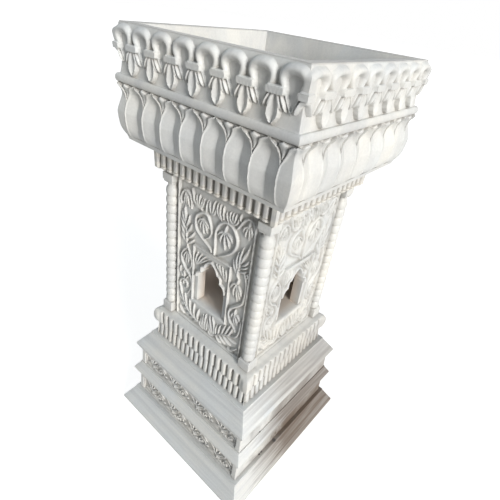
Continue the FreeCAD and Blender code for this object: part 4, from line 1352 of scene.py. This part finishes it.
def frieze_relief(x, z):
    """Loops, ties and leaves over the ground of the frieze."""
    rise = add_leaflets(x, z, add_loops(x, z, loop_ground(x, z)))
    off = np.abs(x - np.round(x / PITCH) * PITCH)
    half = np.interp(z, *ALMOND_EDGE)
    edge = half - off
    boat = ALMOND_RISE - ALMOND_DEPTH * np.clip(edge / np.maximum(half, 1.0), 0, 1) ** ALMOND_POWER
    inside = blend(*ALMOND_SIDE, edge) * blend(*ALMOND_FOOT, z) * blend(*ALMOND_HEAD, z)
    inside = np.where(np.abs(x) > LAST_PETAL * PITCH, 0, inside)
    rise = rise * (1 - inside) + boat * inside
    tall = (TIE[1] - TIE[0]) / 2
    across = np.maximum(off - TIE_HALF + TIE_CORNER * tall, 0)
    up = np.maximum(np.abs(z - sum(TIE) / 2) - (1 - TIE_CORNER) * tall, 0)
    bar = blend(*(TIE_CORNER * tall + soft for soft in TIE_SOFT), np.hypot(across, up))
    marks = TIE_MARKS * np.sin(off * TIE_ACROSS[0] + TIE_ACROSS[1] * np.sin(z * TIE_ACROSS[2]))
    marks = marks * np.sin(z * TIE_UP[0] + TIE_UP[1] * off)
    rise = np.maximum(rise, (TIE_RISE + marks * blend(*TIE_MARKS_END, off)) * bar)
    return rise * blend(*FRIEZE_HEAD, z) * blend(*FRIEZE_FOOT, z)


def build_planter():
    band = closed_wall(flowing(BAND_LINE, BAND_STEP))
    dress(ring_piece("plain_band_marble", band, (PLAIN_STEP,) * 4, closed=True), WALL_STONE, "plain_band")
    courses = (("_lotus_wall", closed_wall(flowing(LOTUS_LINE, LOTUS_STEP)), outside(lotus_relief)),
               ("_frieze_wall", closed_wall(flowing(FRIEZE_GROUND, FRIEZE_STEP)), outside(frieze_relief)))
    for quarter, side in enumerate(SIDES):
        for course, profile, relief in courses:
            name = side + course
            dress(wall_piece(name + "_carved", profile, relief, quarter), WALL_STONE, name)


build_plinth()
build_reeds()
build_panels()
build_columns()
build_dentils()
build_planter()

BARE_NODES = (("niche_floor_block", COOL_LIT_SLAB_STONE), ("planter_floor", WALL_STONE), ("joint_dowels", STEEL))
for name, material in BARE_NODES:
    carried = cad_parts[name]
    carried.data.materials.clear()
    carried.data.materials.append(material)


# Floor, lamps and camera


def seen_directly(tree):
    """1 for what the camera sees, also in a mirror or through glass, and 0 for light on the object."""
    rays = tree.nodes.new("ShaderNodeLightPath").outputs
    mirrored_rays = maths(tree, "MAXIMUM", rays["Is Glossy Ray"], rays["Is Transmission Ray"])
    return maths(tree, "MAXIMUM", rays["Is Camera Ray"], mirrored_rays)


def pale_floor():
    """A pale floor that shows white where it is lit and keeps the planter's shadow."""
    mesh = bpy.data.meshes.new("floor")
    corners = [(FLOOR_SIZE * x, FLOOR_SIZE * y, 0) for x, y in ((-1, -1), (1, -1), (1, 1), (-1, 1))]
    mesh.from_pydata(corners, [], [(0, 1, 2, 3)])
    floor = placed("floor", mesh)
    material, tree, shader = new_material("pale_floor")
    shader.inputs["Base Color"].default_value = FLOOR
    shader.inputs["Roughness"].default_value = FLOOR_ROUGH
    shader.inputs["Specular IOR Level"].default_value = FLOOR_SHINE
    shader.inputs["Emission Color"].default_value = WHITE
    tree.links.new(times(tree, seen_directly(tree), FLOOR_GLOW), shader.inputs["Emission Strength"])
    mesh.materials.append(material)


def lamp(name, bearing, rise, strength, spread, colour, shine):
    """A soft distant lamp, its bearing in degrees from +X towards -Y and its rise from level."""
    data = bpy.data.lights.new(name, "SUN")
    data.energy = strength
    data.angle = math.radians(spread)
    data.color = colour
    holder = placed(name, data)
    turn, up = math.radians(bearing), math.radians(rise)
    source = Vector((math.cos(turn) * math.cos(up), -math.sin(turn) * math.cos(up), math.sin(up)))
    holder.rotation_euler = source.to_track_quat("Z", "Y").to_euler()
    holder.visible_glossy = shine


def white_world():
    """Plain white behind everything, and a faint cool light from all round."""
    world = bpy.data.worlds.new("studio")
    bpy.context.scene.world = world
    world.use_nodes = True
    tree = world.node_tree
    tree.nodes.clear()
    shown = node(tree, "ShaderNodeBackground", Color=WHITE, Strength=1.0)
    light = node(tree, "ShaderNodeBackground", Color=WORLD_COLOUR, Strength=WORLD_LIGHT)
    mix = tree.nodes.new("ShaderNodeMixShader")
    for socket, source in zip(mix.inputs, (seen_directly(tree), light.outputs[0], shown.outputs[0])):
        tree.links.new(source, socket)
    out = tree.nodes.new("ShaderNodeOutputWorld")
    tree.links.new(mix.outputs[0], out.inputs["Surface"])


def photo_camera():
    data = bpy.data.cameras.new("photo_camera")
    data.sensor_width = SENSOR
    data.lens = SENSOR * FOCAL_SHARE
    data.clip_end = CLIP_END
    camera = placed("photo_camera", data)
    axes = Matrix((CAMERA_RIGHT, CAMERA_UP, CAMERA_BACK)).transposed().to_4x4()
    camera.matrix_world = Matrix.Translation(Vector(CAMERA_PLACE) * MM) @ axes
    bpy.context.scene.camera = camera


pale_floor()
white_world()
for row in LAMPS:
    lamp(*row)
photo_camera()
bpy.context.scene.view_settings.view_transform = "Standard"
